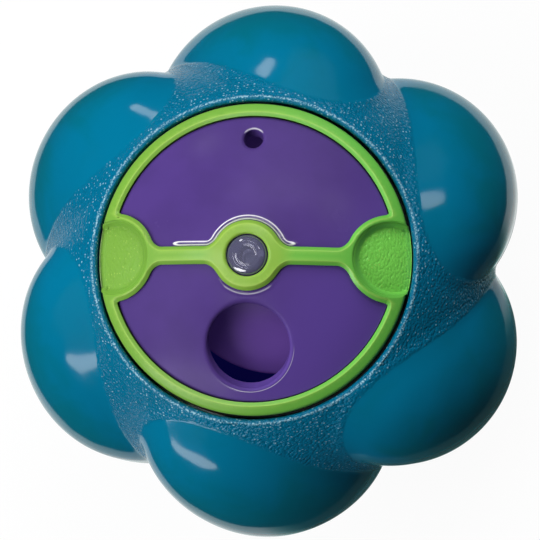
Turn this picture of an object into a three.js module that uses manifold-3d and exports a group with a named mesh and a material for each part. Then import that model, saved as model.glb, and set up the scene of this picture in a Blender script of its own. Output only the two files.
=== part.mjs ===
// A dog treat dispenser: a hollow six-lobed ball in two halves, with a domed twist-in lid.
// Millimetres, +Z up. The ball stands on its flat back with the lid on top, and z = 0 is the ground.
// Heights below are counted from the equator, where the two halves meet.
import * as THREE from "three";
import { mergeVertices } from "three/addons/utils/BufferGeometryUtils.js";
import Module from "manifold-3d";

// Body
const LOBES = 6;
const LOBE_TIP = 67; // axis to the tip of a lobe
const LOBE_RADIUS = 30.2; // in plan
const LOBE_RISE = 30.2; // equator to the top of a lobe
const LOBE_TWIST = 0.66; // degrees a lobe turns for each mm of height, clockwise towards the lid
const TWIST_EASE = 6; // height over which the twist sets in, so the halves meet on straight walls
const CORE_RADIUS = 56.7; // the web between the lobes, at the equator
const CORE_RISE = 43.6; // the same web, if it closed over the lid
const WALL = 3;
const BASE_DROP = 38; // equator to the flat that the ball stands on
const BASE_WALL = 3.4;
const BASE_RECESS_RADIUS = 18;
const BASE_RECESS = 1.2;
const SEAM_GAP = 0.3;
const TONGUE_DEPTH = 2.4;
const TONGUE_INSET = 1.6; // from the outer wall to the tongue

// Fits
const CLEAR = 0.3; // between pieces that touch
const LUG_CLEAR = 0.4; // around the lugs, across the axis
const SKIRT_CLEAR = 0.6; // skirt to ledge

// Socket and bayonet
const SOCKET_RADIUS = 38.6;
const SOCKET_CHAMFER = 0.9;
const SLEEVE_WALL = 2.4;
const LEDGE = 2.4;
const LIP = 1.5;
const LIP_WIDTH = 2;
const TRACK_DROP = 2.1; // room under the lugs
const LUGS = 3;
const LUG = 2.4;
const LUG_REACH = 2.4;
const LUG_ANGLE = 30;
const NOTCH_ANGLE = 34;
const LOCK_ANGLE = 40; // from set in place to locked, clockwise
const STOP_ANGLE = 4;
const STOP_GAP_ANGLE = 1;

// Lid
const LID_GAP = 0.8; // frame to socket
const DOME_RADIUS = 67; // curve of the frame's top
const RING_WIDTH = 3.1;
const RING_DEPTH = 2.9;
const FRAME_RISE = 1.5; // frame above the panel
const BAR_WIDTH = 4.3;
const FILLET = 1.6;
const HUB_RADIUS = 8.45;
const HUB_HOLE_RADIUS = 5.05;
const PAD_RADIUS = 10.7;
const PAD_INSET = 3.9; // pad's centre, in from the frame's edge
const PAD_FLOOR = 1.8;
const SCOOP_RADIUS = 8.9;
const SCOOP_DEPTH = 2;
const PANEL_WALL = 2.5;
const RISER_WALL = 2.4;
const FLANGE = 1.8;
const FLANGE_INSET = 0.4;
const TREAT_HOLE_RADIUS = 9.9;
const TREAT_HOLE_OFFSET = 21.2;
const VENT_RADIUS = 2.3;
const VENT_OFFSET = 28.7;
const SEAL = 0.8;
const SKIRT_WALL = 1.8;

// Pivot and shutter
const PIN_RADIUS = 2.2;
const PIN_HEAD_RIM = 0.7;
const PIN_HEAD_CROWN = 0.8;
const PIN_TAIL = 0.8;
const BOSS_RADIUS = 5;
const BOSS_DROP = 3.2;
const WASHER = 1;
const WASHER_RADIUS = 5;
const SPRING = 0.8;
const CLIP = 1;
const CLIP_RADIUS = 4;
const SHUTTER_WALL = 1.8;
const SHUTTER_HUB_RADIUS = 6.5;
const SHUTTER_HUB = 4.05;
const SHUTTER_STEP = 1.8; // hub above the disc
const SHUTTER_GAP = 0.5; // disc to skirt
const SPIRAL_LEAST = 11.5; // radius of the disc where its edge is cut back most
const SPIRAL_START = 106; // degrees
const SPIRAL_SWEEP = 220;
const STOP_PEG_RADIUS = 1.2;
const STOP_PEG_INSET = 2.6; // peg's centre, in from the skirt
const STOP_PEG_AT = 229; // degrees

// Facets
const LOBE_SIDES = 24;
const LOBE_ROWS = 14;
const INNER_LOBE_SIDES = 14;
const INNER_LOBE_ROWS = 8;
const ROUND_SIDES = 48;
const SMALL_SIDES = 24;
const SPIRAL_STEPS = 22;
const ARC_STEPS = 6;
const DOME_STEPS = 5;
const FAR = 200; // beyond every piece

// Radii and heights that follow
const lobeCentre = LOBE_TIP - LOBE_RADIUS;
const coreHeight = (r) => CORE_RISE * Math.sqrt(1 - (r / CORE_RADIUS) ** 2);
const socketEdge = coreHeight(SOCKET_RADIUS);
const sleeveOuter = SOCKET_RADIUS + SLEEVE_WALL;
const frameOuter = SOCKET_RADIUS - LID_GAP;
const frameInner = frameOuter - RING_WIDTH;
const panelEdge = frameInner - CLEAR;
const riserInner = panelEdge - RISER_WALL;
const flangeOuter = frameOuter - FLANGE_INSET;
const skirtOuter = panelEdge;
const skirtInner = skirtOuter - SKIRT_WALL;
const ledgeInner = skirtOuter + SKIRT_CLEAR;
const lugOuter = skirtOuter + LUG_REACH;
const trackOuter = lugOuter + LUG_CLEAR;
const padCentre = frameOuter - PAD_INSET;

const domeCentre = socketEdge - Math.sqrt(DOME_RADIUS ** 2 - frameOuter ** 2);
const dome = (r, depth) => domeCentre + Math.sqrt((DOME_RADIUS - depth) ** 2 - r * r);
const panelUnder = FRAME_RISE + PANEL_WALL;
const flangeTop = socketEdge - RING_DEPTH;
const flangeBottom = flangeTop - FLANGE;
const sealTop = flangeBottom - CLEAR;
const ledgeTop = sealTop - SEAL - CLEAR;
const ledgeBottom = ledgeTop - LEDGE;
const lugTop = ledgeBottom - CLEAR;
const lugBottom = lugTop - LUG;
const trackBottom = lugBottom - TRACK_DROP;
const lipTop = trackBottom - CLEAR;
const lipBottom = lipTop - LIP;

const pinBore = PIN_RADIUS + CLEAR;
const bossBottom = dome(0, panelUnder) - BOSS_DROP;
const washerTop = bossBottom - CLEAR;
const hubTop = washerTop - WASHER - CLEAR;
const hubBottom = hubTop - SHUTTER_HUB;
const springTop = hubBottom - CLEAR;
const clipTop = springTop - SPRING - CLEAR;
const pinEnd = clipTop - CLIP - PIN_TAIL;
const shutterDepth = dome(0, 0) - (hubTop - SHUTTER_STEP);
const shutterEdge = skirtInner - SHUTTER_GAP;
const stopPegAt = skirtInner - STOP_PEG_INSET;

const wasm = await Module();
wasm.setup();

const rad = THREE.MathUtils.degToRad;

function solid(geometry) {
  geometry.deleteAttribute("normal");
  geometry.deleteAttribute("uv");
  const merged = mergeVertices(geometry, 1e-4);
  return new wasm.Manifold(
    new wasm.Mesh({
      numProp: 3,
      vertProperties: new Float32Array(merged.attributes.position.array),
      triVerts: new Uint32Array(merged.index.array),
    }),
  );
}

const joined = (solids) => solids.reduce((all, next) => all.add(next));

// A body of revolution about Z. The profile lists [radius, height] pairs, anticlockwise.
function turned(profile, sides = ROUND_SIDES) {
  const points = profile.map(([r, z]) => new THREE.Vector2(r, z));
  return solid(new THREE.LatheGeometry(points, sides).rotateX(Math.PI / 2));
}

function disc(radius, bottom, top, sides = ROUND_SIDES) {
  return turned([[0, bottom], [radius, bottom], [radius, top], [0, top]], sides);
}

function ring(inner, outer, bottom, top, sides = ROUND_SIDES) {
  const corners = [[inner, bottom], [outer, bottom], [outer, top], [inner, top]];
  return turned([...corners, corners[0]], sides);
}

// A wedge of a ring, centred on an angle about Z.
function sector(inner, outer, bottom, top, angle, width) {
  const from = rad(angle - width / 2);
  const to = rad(angle + width / 2);
  const outline = new THREE.Shape();
  outline.absarc(0, 0, outer, from, to, false);
  outline.absarc(0, 0, inner, to, from, true);
  return prism(outline, bottom, top);
}

function prism(outline, bottom, top) {
  const options = { depth: top - bottom, bevelEnabled: false, curveSegments: ARC_STEPS };
  return solid(new THREE.ExtrudeGeometry(outline, options).translate(0, 0, bottom));
}

function post(x, y, radius, bottom, top) {
  return disc(radius, bottom, top, SMALL_SIDES).translate([x, y, 0]);
}

// Points [radius, height] along the lid's dome, or one parallel to it, from one radius to another.
function domeArc(from, to, depth) {
  return Array.from({ length: DOME_STEPS + 1 }, (_, i) => {
    const r = from + ((to - from) * i) / DOME_STEPS;
    return [r, dome(r, depth)];
  });
}

// Everything under the dome, or under one parallel to it, out to a radius.
function underDome(depth, radius = frameOuter) {
  return turned([[0, -FAR], [radius, -FAR], ...domeArc(radius, 0, depth)]);
}

// Degrees that the body is turned at a height.
function twistAt(z) {
  return -Math.sign(z) * LOBE_TWIST * (Math.hypot(z, TWIST_EASE) - TWIST_EASE);
}

function lobeAngle(i) {
  return (360 * (i + 0.5)) / LOBES;
}

function ellipsoid(radius, rise, sides, rows) {
  return new THREE.SphereGeometry(1, sides, rows).rotateX(Math.PI / 2).scale(radius, radius, rise);
}

function lobe(i, inset, sides, rows) {
  const geometry = ellipsoid(LOBE_RADIUS - inset, LOBE_RISE - inset, sides, rows);
  geometry.translate(lobeCentre, 0, 0).rotateZ(rad(lobeAngle(i)));
  const position = geometry.attributes.position;
  const point = new THREE.Vector3();
  const axis = new THREE.Vector3(0, 0, 1);
  for (let n = 0; n < position.count; n++) {
    point.fromBufferAttribute(position, n);
    point.applyAxisAngle(axis, rad(twistAt(point.z)));
    position.setXYZ(n, point.x, point.y, point.z);
  }
  return solid(geometry);
}

// The whole lobed ball, drawn in by an inset.
function lobedBall(inset, sides, rows) {
  const core = solid(ellipsoid(CORE_RADIUS - inset, CORE_RISE - inset, ROUND_SIDES, rows));
  const lobes = Array.from({ length: LOBES }, (_, i) => lobe(i, inset, sides, rows));
  return joined([core, ...lobes]);
}

// The outline of the equator, drawn in by an inset, as a prism.
function equatorPrism(inset, bottom, top) {
  const core = disc(CORE_RADIUS - inset, bottom, top);
  const lobes = Array.from({ length: LOBES }, (_, i) => {
    const at = rad(lobeAngle(i));
    const round = disc(LOBE_RADIUS - inset, bottom, top, INNER_LOBE_SIDES);
    return round.translate([lobeCentre * Math.cos(at), lobeCentre * Math.sin(at), 0]);
  });
  return joined([core, ...lobes]);
}

const ball = lobedBall(0, LOBE_SIDES, LOBE_ROWS);
const hollow = lobedBall(WALL, INNER_LOBE_SIDES, INNER_LOBE_ROWS);

function frontShell() {
  const half = disc(FAR, SEAM_GAP / 2, FAR);
  const tongueTop = SEAM_GAP / 2 + CLEAR;
  const tongue = equatorPrism(TONGUE_INSET, -TONGUE_DEPTH, tongueTop).subtract(
    equatorPrism(WALL, -TONGUE_DEPTH - CLEAR, tongueTop + CLEAR),
  );
  const sleeve = disc(sleeveOuter, lipBottom, FAR).intersect(ball);
  const flare = SOCKET_RADIUS + SOCKET_CHAMFER;
  const bore = turned([
    [0, lipTop],
    [SOCKET_RADIUS, lipTop],
    [SOCKET_RADIUS, socketEdge - SOCKET_CHAMFER],
    [flare, socketEdge],
    [flare, FAR],
    [0, FAR],
  ]);
  const throat = disc(SOCKET_RADIUS - LIP_WIDTH, lipBottom - CLEAR, lipTop + CLEAR);
  const wall = ball.intersect(half).subtract(hollow);
  return joined([wall, sleeve, tongue]).subtract(bore).subtract(throat);
}

function rearShell() {
  const half = disc(FAR, -BASE_DROP, -SEAM_GAP / 2);
  const floor = disc(FAR, -BASE_DROP + BASE_WALL, FAR);
  const groove = equatorPrism(TONGUE_INSET - CLEAR, -TONGUE_DEPTH - CLEAR, CLEAR);
  const recess = disc(BASE_RECESS_RADIUS, -FAR, -BASE_DROP + BASE_RECESS);
  return ball.intersect(half).subtract(hollow.intersect(floor)).subtract(groove).subtract(recess);
}

function bayonetRing() {
  const outer = SOCKET_RADIUS - CLEAR;
  let body = turned([
    [trackOuter, trackBottom],
    [outer, trackBottom],
    [outer, ledgeTop],
    [ledgeInner, ledgeTop],
    [ledgeInner, ledgeBottom],
    [trackOuter, ledgeBottom],
    [trackOuter, trackBottom],
  ]);
  const shut = LUG_ANGLE / 2 + STOP_GAP_ANGLE + STOP_ANGLE / 2;
  for (let i = 0; i < LUGS; i++) {
    const at = (360 * i) / LUGS;
    for (const angle of [at + shut, at - shut - LOCK_ANGLE]) {
      const reach = trackOuter + CLEAR;
      body = body.add(sector(ledgeInner, reach, trackBottom, ledgeTop, angle, STOP_ANGLE));
    }
    const notch = sector(0, trackOuter, ledgeBottom, ledgeTop + CLEAR, at, NOTCH_ANGLE);
    body = body.subtract(notch);
  }
  return body;
}

function lugRing() {
  const lugs = Array.from({ length: LUGS }, (_, i) =>
    sector(skirtInner, lugOuter, lugBottom, lugTop, (360 * i) / LUGS, LUG_ANGLE),
  );
  return joined([ring(skirtInner, skirtOuter, lugBottom, flangeBottom - CLEAR), ...lugs]);
}

function lidSeal() {
  return ring(ledgeInner + CLEAR, flangeOuter - CLEAR, ledgeTop + CLEAR, sealTop);
}

function lidPanel() {
  let panel = turned([
    [riserInner, flangeBottom],
    [flangeOuter, flangeBottom],
    [flangeOuter, flangeTop],
    [panelEdge, flangeTop],
    ...domeArc(panelEdge, 0, FRAME_RISE),
    ...domeArc(0, riserInner, panelUnder),
    [riserInner, flangeBottom],
  ]);
  const underFloor = underDome(SCOOP_DEPTH + PAD_FLOOR + CLEAR);
  for (const side of [-1, 1]) {
    const notch = post(side * padCentre, 0, PAD_RADIUS + CLEAR, 0, FAR);
    panel = panel.subtract(notch.subtract(underFloor.add(disc(FAR, 0, flangeTop))));
  }
  const at = rad(STOP_PEG_AT);
  const pegTop = dome(stopPegAt, FRAME_RISE + PANEL_WALL / 2);
  const pegBottom = dome(stopPegAt + STOP_PEG_RADIUS, shutterDepth + SHUTTER_WALL) - CLEAR;
  const x = stopPegAt * Math.cos(at);
  const y = stopPegAt * Math.sin(at);
  return panel
    .add(disc(BOSS_RADIUS, bossBottom, dome(0, panelUnder - PANEL_WALL / 2), SMALL_SIDES))
    .add(post(x, y, STOP_PEG_RADIUS, pegBottom, pegTop))
    .subtract(disc(pinBore, 0, FAR, SMALL_SIDES))
    .subtract(post(0, -TREAT_HOLE_OFFSET, TREAT_HOLE_RADIUS, flangeTop, FAR))
    .subtract(post(0, VENT_OFFSET, VENT_RADIUS, flangeTop, FAR));
}

// The crossbar from pad to pad, flared by a fillet at the hub and at each pad.
function barOutline() {
  const w = BAR_WIDTH / 2;
  const reach = (radius) => Math.sqrt((radius + FILLET) ** 2 - (w + FILLET) ** 2);
  const hubTurn = reach(HUB_RADIUS);
  const padTurn = padCentre - reach(PAD_RADIUS);
  const tilt = (radius) => Math.asin((w + FILLET) / (radius + FILLET));
  const outline = new THREE.Shape();
  const up = Math.PI / 2;
  outline.moveTo(padCentre, -w);
  outline.lineTo(padCentre, w);
  outline.absarc(padTurn, w + FILLET, FILLET, -tilt(PAD_RADIUS), -up, true);
  outline.absarc(hubTurn, w + FILLET, FILLET, -up, -2 * up + tilt(HUB_RADIUS), true);
  outline.absarc(-hubTurn, w + FILLET, FILLET, -tilt(HUB_RADIUS), -up, true);
  outline.absarc(-padTurn, w + FILLET, FILLET, -up, -2 * up + tilt(PAD_RADIUS), true);
  outline.lineTo(-padCentre, w);
  outline.lineTo(-padCentre, -w);
  outline.absarc(-padTurn, -w - FILLET, FILLET, 2 * up - tilt(PAD_RADIUS), up, true);
  outline.absarc(-hubTurn, -w - FILLET, FILLET, up, tilt(HUB_RADIUS), true);
  outline.absarc(hubTurn, -w - FILLET, FILLET, 2 * up - tilt(HUB_RADIUS), up, true);
  outline.absarc(padTurn, -w - FILLET, FILLET, up, tilt(PAD_RADIUS), true);
  return outline;
}

function gripFrame() {
  const top = underDome(0);
  const seat = flangeTop + CLEAR;
  const raised = joined([
    ring(frameInner, frameOuter, seat, FAR),
    prism(barOutline(), seat, FAR),
    disc(HUB_RADIUS, seat, FAR, ROUND_SIDES),
    post(-padCentre, 0, PAD_RADIUS, seat, FAR).intersect(disc(frameOuter, seat, FAR)),
    post(padCentre, 0, PAD_RADIUS, seat, FAR).intersect(disc(frameOuter, seat, FAR)),
  ]).intersect(top);
  let frame = raised.subtract(underDome(FRAME_RISE - CLEAR, frameInner));
  const padFoot = underDome(SCOOP_DEPTH + PAD_FLOOR);
  const scoopFloor = underDome(SCOOP_DEPTH);
  for (const side of [-1, 1]) {
    const pad = post(side * padCentre, 0, PAD_RADIUS, seat, FAR).intersect(top).subtract(padFoot);
    const scoop = post(side * padCentre, 0, SCOOP_RADIUS, 0, FAR).subtract(scoopFloor);
    frame = frame.add(pad).subtract(scoop);
  }
  return frame.subtract(disc(HUB_HOLE_RADIUS, 0, FAR, SMALL_SIDES));
}

function pivotPin() {
  const headBottom = dome(0, FRAME_RISE) + CLEAR;
  const headRadius = HUB_HOLE_RADIUS - CLEAR;
  const rim = headBottom + PIN_HEAD_RIM;
  const crown = Array.from({ length: DOME_STEPS + 1 }, (_, i) => {
    const turn = (Math.PI / 2) * (i / DOME_STEPS);
    return [headRadius * Math.cos(turn), rim + PIN_HEAD_CROWN * Math.sin(turn)];
  });
  crown[DOME_STEPS][0] = 0;
  return turned(
    [[0, pinEnd], [PIN_RADIUS, pinEnd], [PIN_RADIUS, headBottom], [headRadius, headBottom], ...crown],
    SMALL_SIDES,
  );
}

// The shutter's edge: round over part of the turn, then a spiral drawn in to its least radius.
function shutter() {
  const outline = new THREE.Shape();
  for (let i = 0; i <= SPIRAL_STEPS; i++) {
    const r = SPIRAL_LEAST + ((shutterEdge - SPIRAL_LEAST) * i) / SPIRAL_STEPS;
    const at = rad(SPIRAL_START + (SPIRAL_SWEEP * i) / SPIRAL_STEPS);
    if (i === 0) outline.moveTo(r * Math.cos(at), r * Math.sin(at));
    else outline.lineTo(r * Math.cos(at), r * Math.sin(at));
  }
  outline.absarc(0, 0, shutterEdge, rad(SPIRAL_START + SPIRAL_SWEEP), rad(SPIRAL_START + 360), false);
  const plate = prism(outline, 0, FAR)
    .intersect(underDome(shutterDepth))
    .subtract(underDome(shutterDepth + SHUTTER_WALL));
  return plate
    .add(disc(SHUTTER_HUB_RADIUS, hubBottom, hubTop, SMALL_SIDES))
    .subtract(disc(pinBore, 0, FAR, SMALL_SIDES));
}

function washer(radius, top, thickness) {
  return ring(pinBore, radius, top - thickness, top, SMALL_SIDES);
}

function finish(color, roughness, metalness = 0) {
  return new THREE.MeshStandardMaterial({ color, roughness, metalness });
}

const teal = finish(0x0a6f8f, 0.25);
const purple = finish(0x5b3f92, 0.2);
const lime = finish(0x7cc43e, 0.35);
const clear = new THREE.MeshStandardMaterial({ color: 0xb9bed6, roughness: 0.05, transparent: true, opacity: 0.4 });
const darkPlastic = finish(0x24323c, 0.5);
const softGrey = finish(0x3a3d42, 0.8);
const steel = finish(0xb8bcc0, 0.3, 1);

const pieces = [
  ["front_shell", frontShell(), teal],
  ["rear_shell", rearShell(), teal],
  ["bayonet_ring", bayonetRing(), darkPlastic],
  ["lid_seal", lidSeal(), softGrey],
  ["lug_ring", lugRing(), purple],
  ["lid_panel", lidPanel(), purple],
  ["grip_frame", gripFrame(), lime],
  ["pivot_pin", pivotPin(), clear],
  ["friction_washer", washer(WASHER_RADIUS, washerTop, WASHER), softGrey],
  ["shutter", shutter(), purple],
  ["spring_washer", washer(WASHER_RADIUS, springTop, SPRING), steel],
  ["retaining_clip", washer(CLIP_RADIUS, clipTop, CLIP), steel],
];

function meshOf(name, body, material) {
  const { numProp, vertProperties, triVerts } = body.getMesh();
  const geometry = new THREE.BufferGeometry();
  geometry.setAttribute("position", new THREE.BufferAttribute(new Float32Array(vertProperties), numProp));
  geometry.setIndex(new THREE.BufferAttribute(new Uint32Array(triVerts), 1));
  geometry.computeVertexNormals();
  const mesh = new THREE.Mesh(geometry, material);
  mesh.name = name;
  return mesh;
}

const dispenser = new THREE.Group();
const standing = new THREE.Group();
standing.position.z = BASE_DROP;
for (const [name, body, material] of pieces) standing.add(meshOf(name, body, material));
dispenser.add(standing);

export default dispenser;
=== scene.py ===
"""The treat ball's looks: swirled glossy body, domed lid and what lies under it. Metres, +Z up."""
import math

import bmesh
import bpy
from bpy.props import FloatProperty, FloatVectorProperty, PointerProperty
from mathutils import Matrix, Quaternion, Vector


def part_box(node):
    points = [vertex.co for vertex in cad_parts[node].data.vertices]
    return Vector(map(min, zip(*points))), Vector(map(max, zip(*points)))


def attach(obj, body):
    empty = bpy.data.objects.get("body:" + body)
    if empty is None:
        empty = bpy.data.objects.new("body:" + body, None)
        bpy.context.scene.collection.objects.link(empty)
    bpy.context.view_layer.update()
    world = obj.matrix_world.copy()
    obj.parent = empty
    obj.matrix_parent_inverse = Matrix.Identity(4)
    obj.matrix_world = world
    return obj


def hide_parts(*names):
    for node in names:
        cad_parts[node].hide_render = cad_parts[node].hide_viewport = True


bl_info = {
    "name": "Treat Ball",
    "version": (1, 0, 0),
    "blender": (4, 5, 0),
    "location": "3D View > Sidebar > Treat Ball",
    "description": "Builds a lobed treat dispenser ball with its twist-in lid",
    "category": "Add Mesh",
}

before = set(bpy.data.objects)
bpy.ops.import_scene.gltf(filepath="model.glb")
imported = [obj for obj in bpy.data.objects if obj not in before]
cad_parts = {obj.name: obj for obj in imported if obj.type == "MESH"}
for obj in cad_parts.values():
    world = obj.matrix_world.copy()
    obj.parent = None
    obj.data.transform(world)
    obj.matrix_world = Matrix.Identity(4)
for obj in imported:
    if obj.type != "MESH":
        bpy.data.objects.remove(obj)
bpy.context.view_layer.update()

MM = 0.001
SEAM = 0.15 * MM  # from the edge of either half to the equator
FIT = 0.3 * MM  # clearance between neighbouring pieces
TIP_CLEAR = 0.02 * MM  # keeps the lobes inside the solids' box
SOCKET_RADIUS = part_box("bayonet_ring")[1].x + FIT
FRAME_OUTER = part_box("grip_frame")[1].y
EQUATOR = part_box("rear_shell")[1].z + SEAM
SHUTTER_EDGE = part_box("shutter")[1].y
LOBE_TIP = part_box("front_shell")[1].y - TIP_CLEAR


# Settings


def length(name, description, metres):
    return FloatProperty(name=name, description=description, default=metres, unit="LENGTH", precision=5)


def angle(name, description, degrees):
    return FloatProperty(name=name, description=description, default=math.radians(degrees), subtype="ANGLE")


def colour(name, description, rgb):
    return FloatVectorProperty(name=name, description=description, default=rgb, subtype="COLOR", min=0, max=1)


def number(name, description, value):
    return FloatProperty(name=name, description=description, default=value)


class BodySizes(bpy.types.PropertyGroup):
    """Sizes of the two shells."""

    lobe_tip: length("Lobe tip", "Axis to the tip of a lobe", LOBE_TIP)
    lobe_radius: length("Lobe radius", "Roundness of a lobe", 30.17 * MM)
    lobe_twist: angle("Lobe twist", "Turn of a lobe for each millimetre of height", 0.66)
    twist_ease: length("Twist ease", "Height over which the twist sets in", 6 * MM)
    core_radius: length("Web radius", "Web between the lobes, at the seam", 56.7 * MM)
    core_rise: length("Web rise", "Height of the web if it closed over the lid", 43.6 * MM)
    wall: length("Wall", "Thickness of the shells", 3 * MM)
    crease: length("Crease", "Softness of the crease between lobe and web, at the seam", 0.55 * MM)
    blend: length("Blend", "Softness of the crease near the lid and the base", 3.2 * MM)
    blend_start: length("Blend start", "Height from the seam where the crease begins to soften", 9 * MM)
    blend_run: length("Blend run", "Height over which it softens", 16 * MM)
    seam_round: length("Seam round", "Rounded edge along the seam", 0.3 * MM)
    tongue_depth: length("Tongue depth", "Front half's tongue, below the seam", 2.4 * MM)
    tongue_inset: length("Tongue inset", "Outer wall to the tongue", 1.6 * MM)
    lip_round: length("Lip round", "Rounded lip of the socket", 0.9 * MM)
    sleeve_wall: length("Sleeve wall", "Wall of the socket", 2.4 * MM)
    throat_width: length("Throat width", "Inner step of the socket", 2 * MM)
    throat_depth: length("Throat depth", "Height of the inner step", 1.5 * MM)
    base_wall: length("Base wall", "Thickness of the flat base", 3.4 * MM)
    base_edge: length("Base edge", "Softened edges of the flat base and its recess", 0.5 * MM)
    recess_radius: length("Recess radius", "Recess in the flat base", 18 * MM)
    recess_depth: length("Recess depth", "Depth of that recess", 1.2 * MM)


class LidSizes(bpy.types.PropertyGroup):
    """Sizes of the lid and of what hangs under it."""

    dome_radius: length("Dome radius", "Curve of the frame's top", 67 * MM)
    ring_width: length("Ring width", "Width of the frame's ring", 3.1 * MM)
    ring_depth: length("Ring depth", "Height of the ring above the flange", 2.9 * MM)
    ring_round: length("Ring round", "Rounded outer edge of the frame", 0.4 * MM)
    frame_rise: length("Frame rise", "Frame above the panel", 1.5 * MM)
    bar_width: length("Bar width", "Width of the crossbar", 4.3 * MM)
    fillet: length("Fillet", "Rounding where the bar meets hub and pads", 2.2 * MM)
    corner: length("Corner", "Rounding of the windows' corners", 0.7 * MM)
    chamfer: length("Chamfer", "Width of the bevel along the windows", 0.95 * MM)
    chamfer_drop: length("Chamfer drop", "Height of that bevel", 0.85 * MM)
    hub_radius: length("Hub radius", "Outside of the hub", 8.45 * MM)
    hub_hole: length("Hub hole", "Hole in the hub", 5.05 * MM)
    hub_round: length("Hub round", "Rounded edge of that hole", 0.7 * MM)
    pad_radius: length("Pad radius", "Outside of a finger pad", 10.7 * MM)
    pad_inset: length("Pad inset", "Centre of a pad, in from the frame's edge", 3.9 * MM)
    pad_bulge: length("Pad bulge", "Pad floor past the ring", 0.35 * MM)
    pad_floor: length("Pad floor", "Thickness under a scoop", 1.8 * MM)
    scoop_radius: length("Scoop radius", "Edge of a finger scoop", 8.9 * MM)
    scoop_round: length("Scoop round", "Rounded edge of a scoop", 0.5 * MM)
    scoop_depth: length("Scoop depth", "Depth of a finger scoop", 2 * MM)
    scoop_slope: length("Scoop slope", "Width of a scoop's sloping wall", 1.4 * MM)
    panel_wall: length("Panel wall", "Thickness of the panel", 2.5 * MM)
    panel_sag: length("Panel sag", "Under face of the panel, lower under the pads", 1.2 * MM)
    riser_wall: length("Riser wall", "Wall under the panel's edge", 2.4 * MM)
    flange: length("Flange", "Thickness of the flange", 1.8 * MM)
    flange_inset: length("Flange inset", "Frame's edge to the flange's", 0.4 * MM)
    treat_radius: length("Treat hole", "Radius of the treat hole", 9.9 * MM)
    treat_offset: length("Treat hole offset", "Axis to the treat hole", 21.2 * MM)
    vent_radius: length("Vent", "Radius of the vent", 2.3 * MM)
    vent_offset: length("Vent offset", "Axis to the vent", 28.7 * MM)
    hole_lip: length("Hole lip", "Rounded edge of the treat hole", 1.1 * MM)
    vent_lip: length("Vent lip", "Rounded edge of the vent", 1.0 * MM)
    bore_lean: length("Bore lean", "Shift of the holes towards the axis, through the panel", 1.25 * MM)
    lean_reach: length("Lean reach", "Round a hole, how far its lean draws the under face along", 5 * MM)
    bead_rise: length("Bead rise", "Height of the bead along bar and hub", 0.5 * MM)
    bead_width: length("Bead width", "Half width of that bead", 0.5 * MM)
    bead_left: length("Bead left", "Axis to the bead's left end", 19.5 * MM)
    bead_right: length("Bead right", "Axis to the bead's right end", 12.5 * MM)
    bead_below: length("Bead below", "Axis to the ends of the bead below the hub", 8 * MM)
    bead_fade: length("Bead fade", "Length over which the bead dies out", 3 * MM)
    skirt_wall: length("Skirt wall", "Wall of the lug ring", 1.8 * MM)
    ledge: length("Ledge", "Thickness of the bayonet's ledge", 2.4 * MM)
    ledge_gap: length("Ledge gap", "Skirt to the ledge", 0.6 * MM)
    lug: length("Lug", "Thickness of a lug", 2.4 * MM)
    lug_reach: length("Lug reach", "Lug past the skirt", 2.4 * MM)
    track_gap: length("Track gap", "Lug to the bayonet's wall", 0.4 * MM)
    notch_turn: angle("Notch", "Gap in the ledge that a lug drops through", 34)
    lug_turn: angle("Lug turn", "Width of a lug", 30)
    lock_turn: angle("Lock turn", "Turn from set in place to locked", 40)
    stop_turn: angle("Stop", "Width of a stop", 4)
    stop_gap: angle("Stop gap", "Lug to stop", 1)
    shutter_wall: length("Shutter wall", "Thickness of the shutter", 1.8 * MM)
    shutter_round: length("Shutter round", "Rounded edge of the shutter", 0.5 * MM)
    shutter_hub: length("Shutter hub", "Height of the shutter's hub", 4.05 * MM)
    shutter_hub_radius: length("Shutter hub radius", "Outside of the shutter's hub", 6.5 * MM)
    shutter_step: length("Shutter step", "Hub above the shutter's disc", 1.8 * MM)
    spiral_least: length("Spiral least", "Shutter's radius where it is cut back most", 11.5 * MM)
    spiral_start: angle("Spiral start", "Where the spiral begins", 106)
    spiral_sweep: angle("Spiral sweep", "Turn of the spiral", 220)
    pin_radius: length("Pin radius", "Shaft of the pivot pin", 2.2 * MM)
    boss_radius: length("Boss radius", "Boss round the pin, under the panel", 5 * MM)
    boss_drop: length("Boss drop", "Height of that boss", 3.2 * MM)
    peg_radius: length("Peg radius", "Stop peg of the shutter", 1.2 * MM)
    peg_inset: length("Peg inset", "Riser's wall to the peg's middle", 2 * MM)
    peg_at: angle("Peg place", "Where the stop peg stands", 229)


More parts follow.
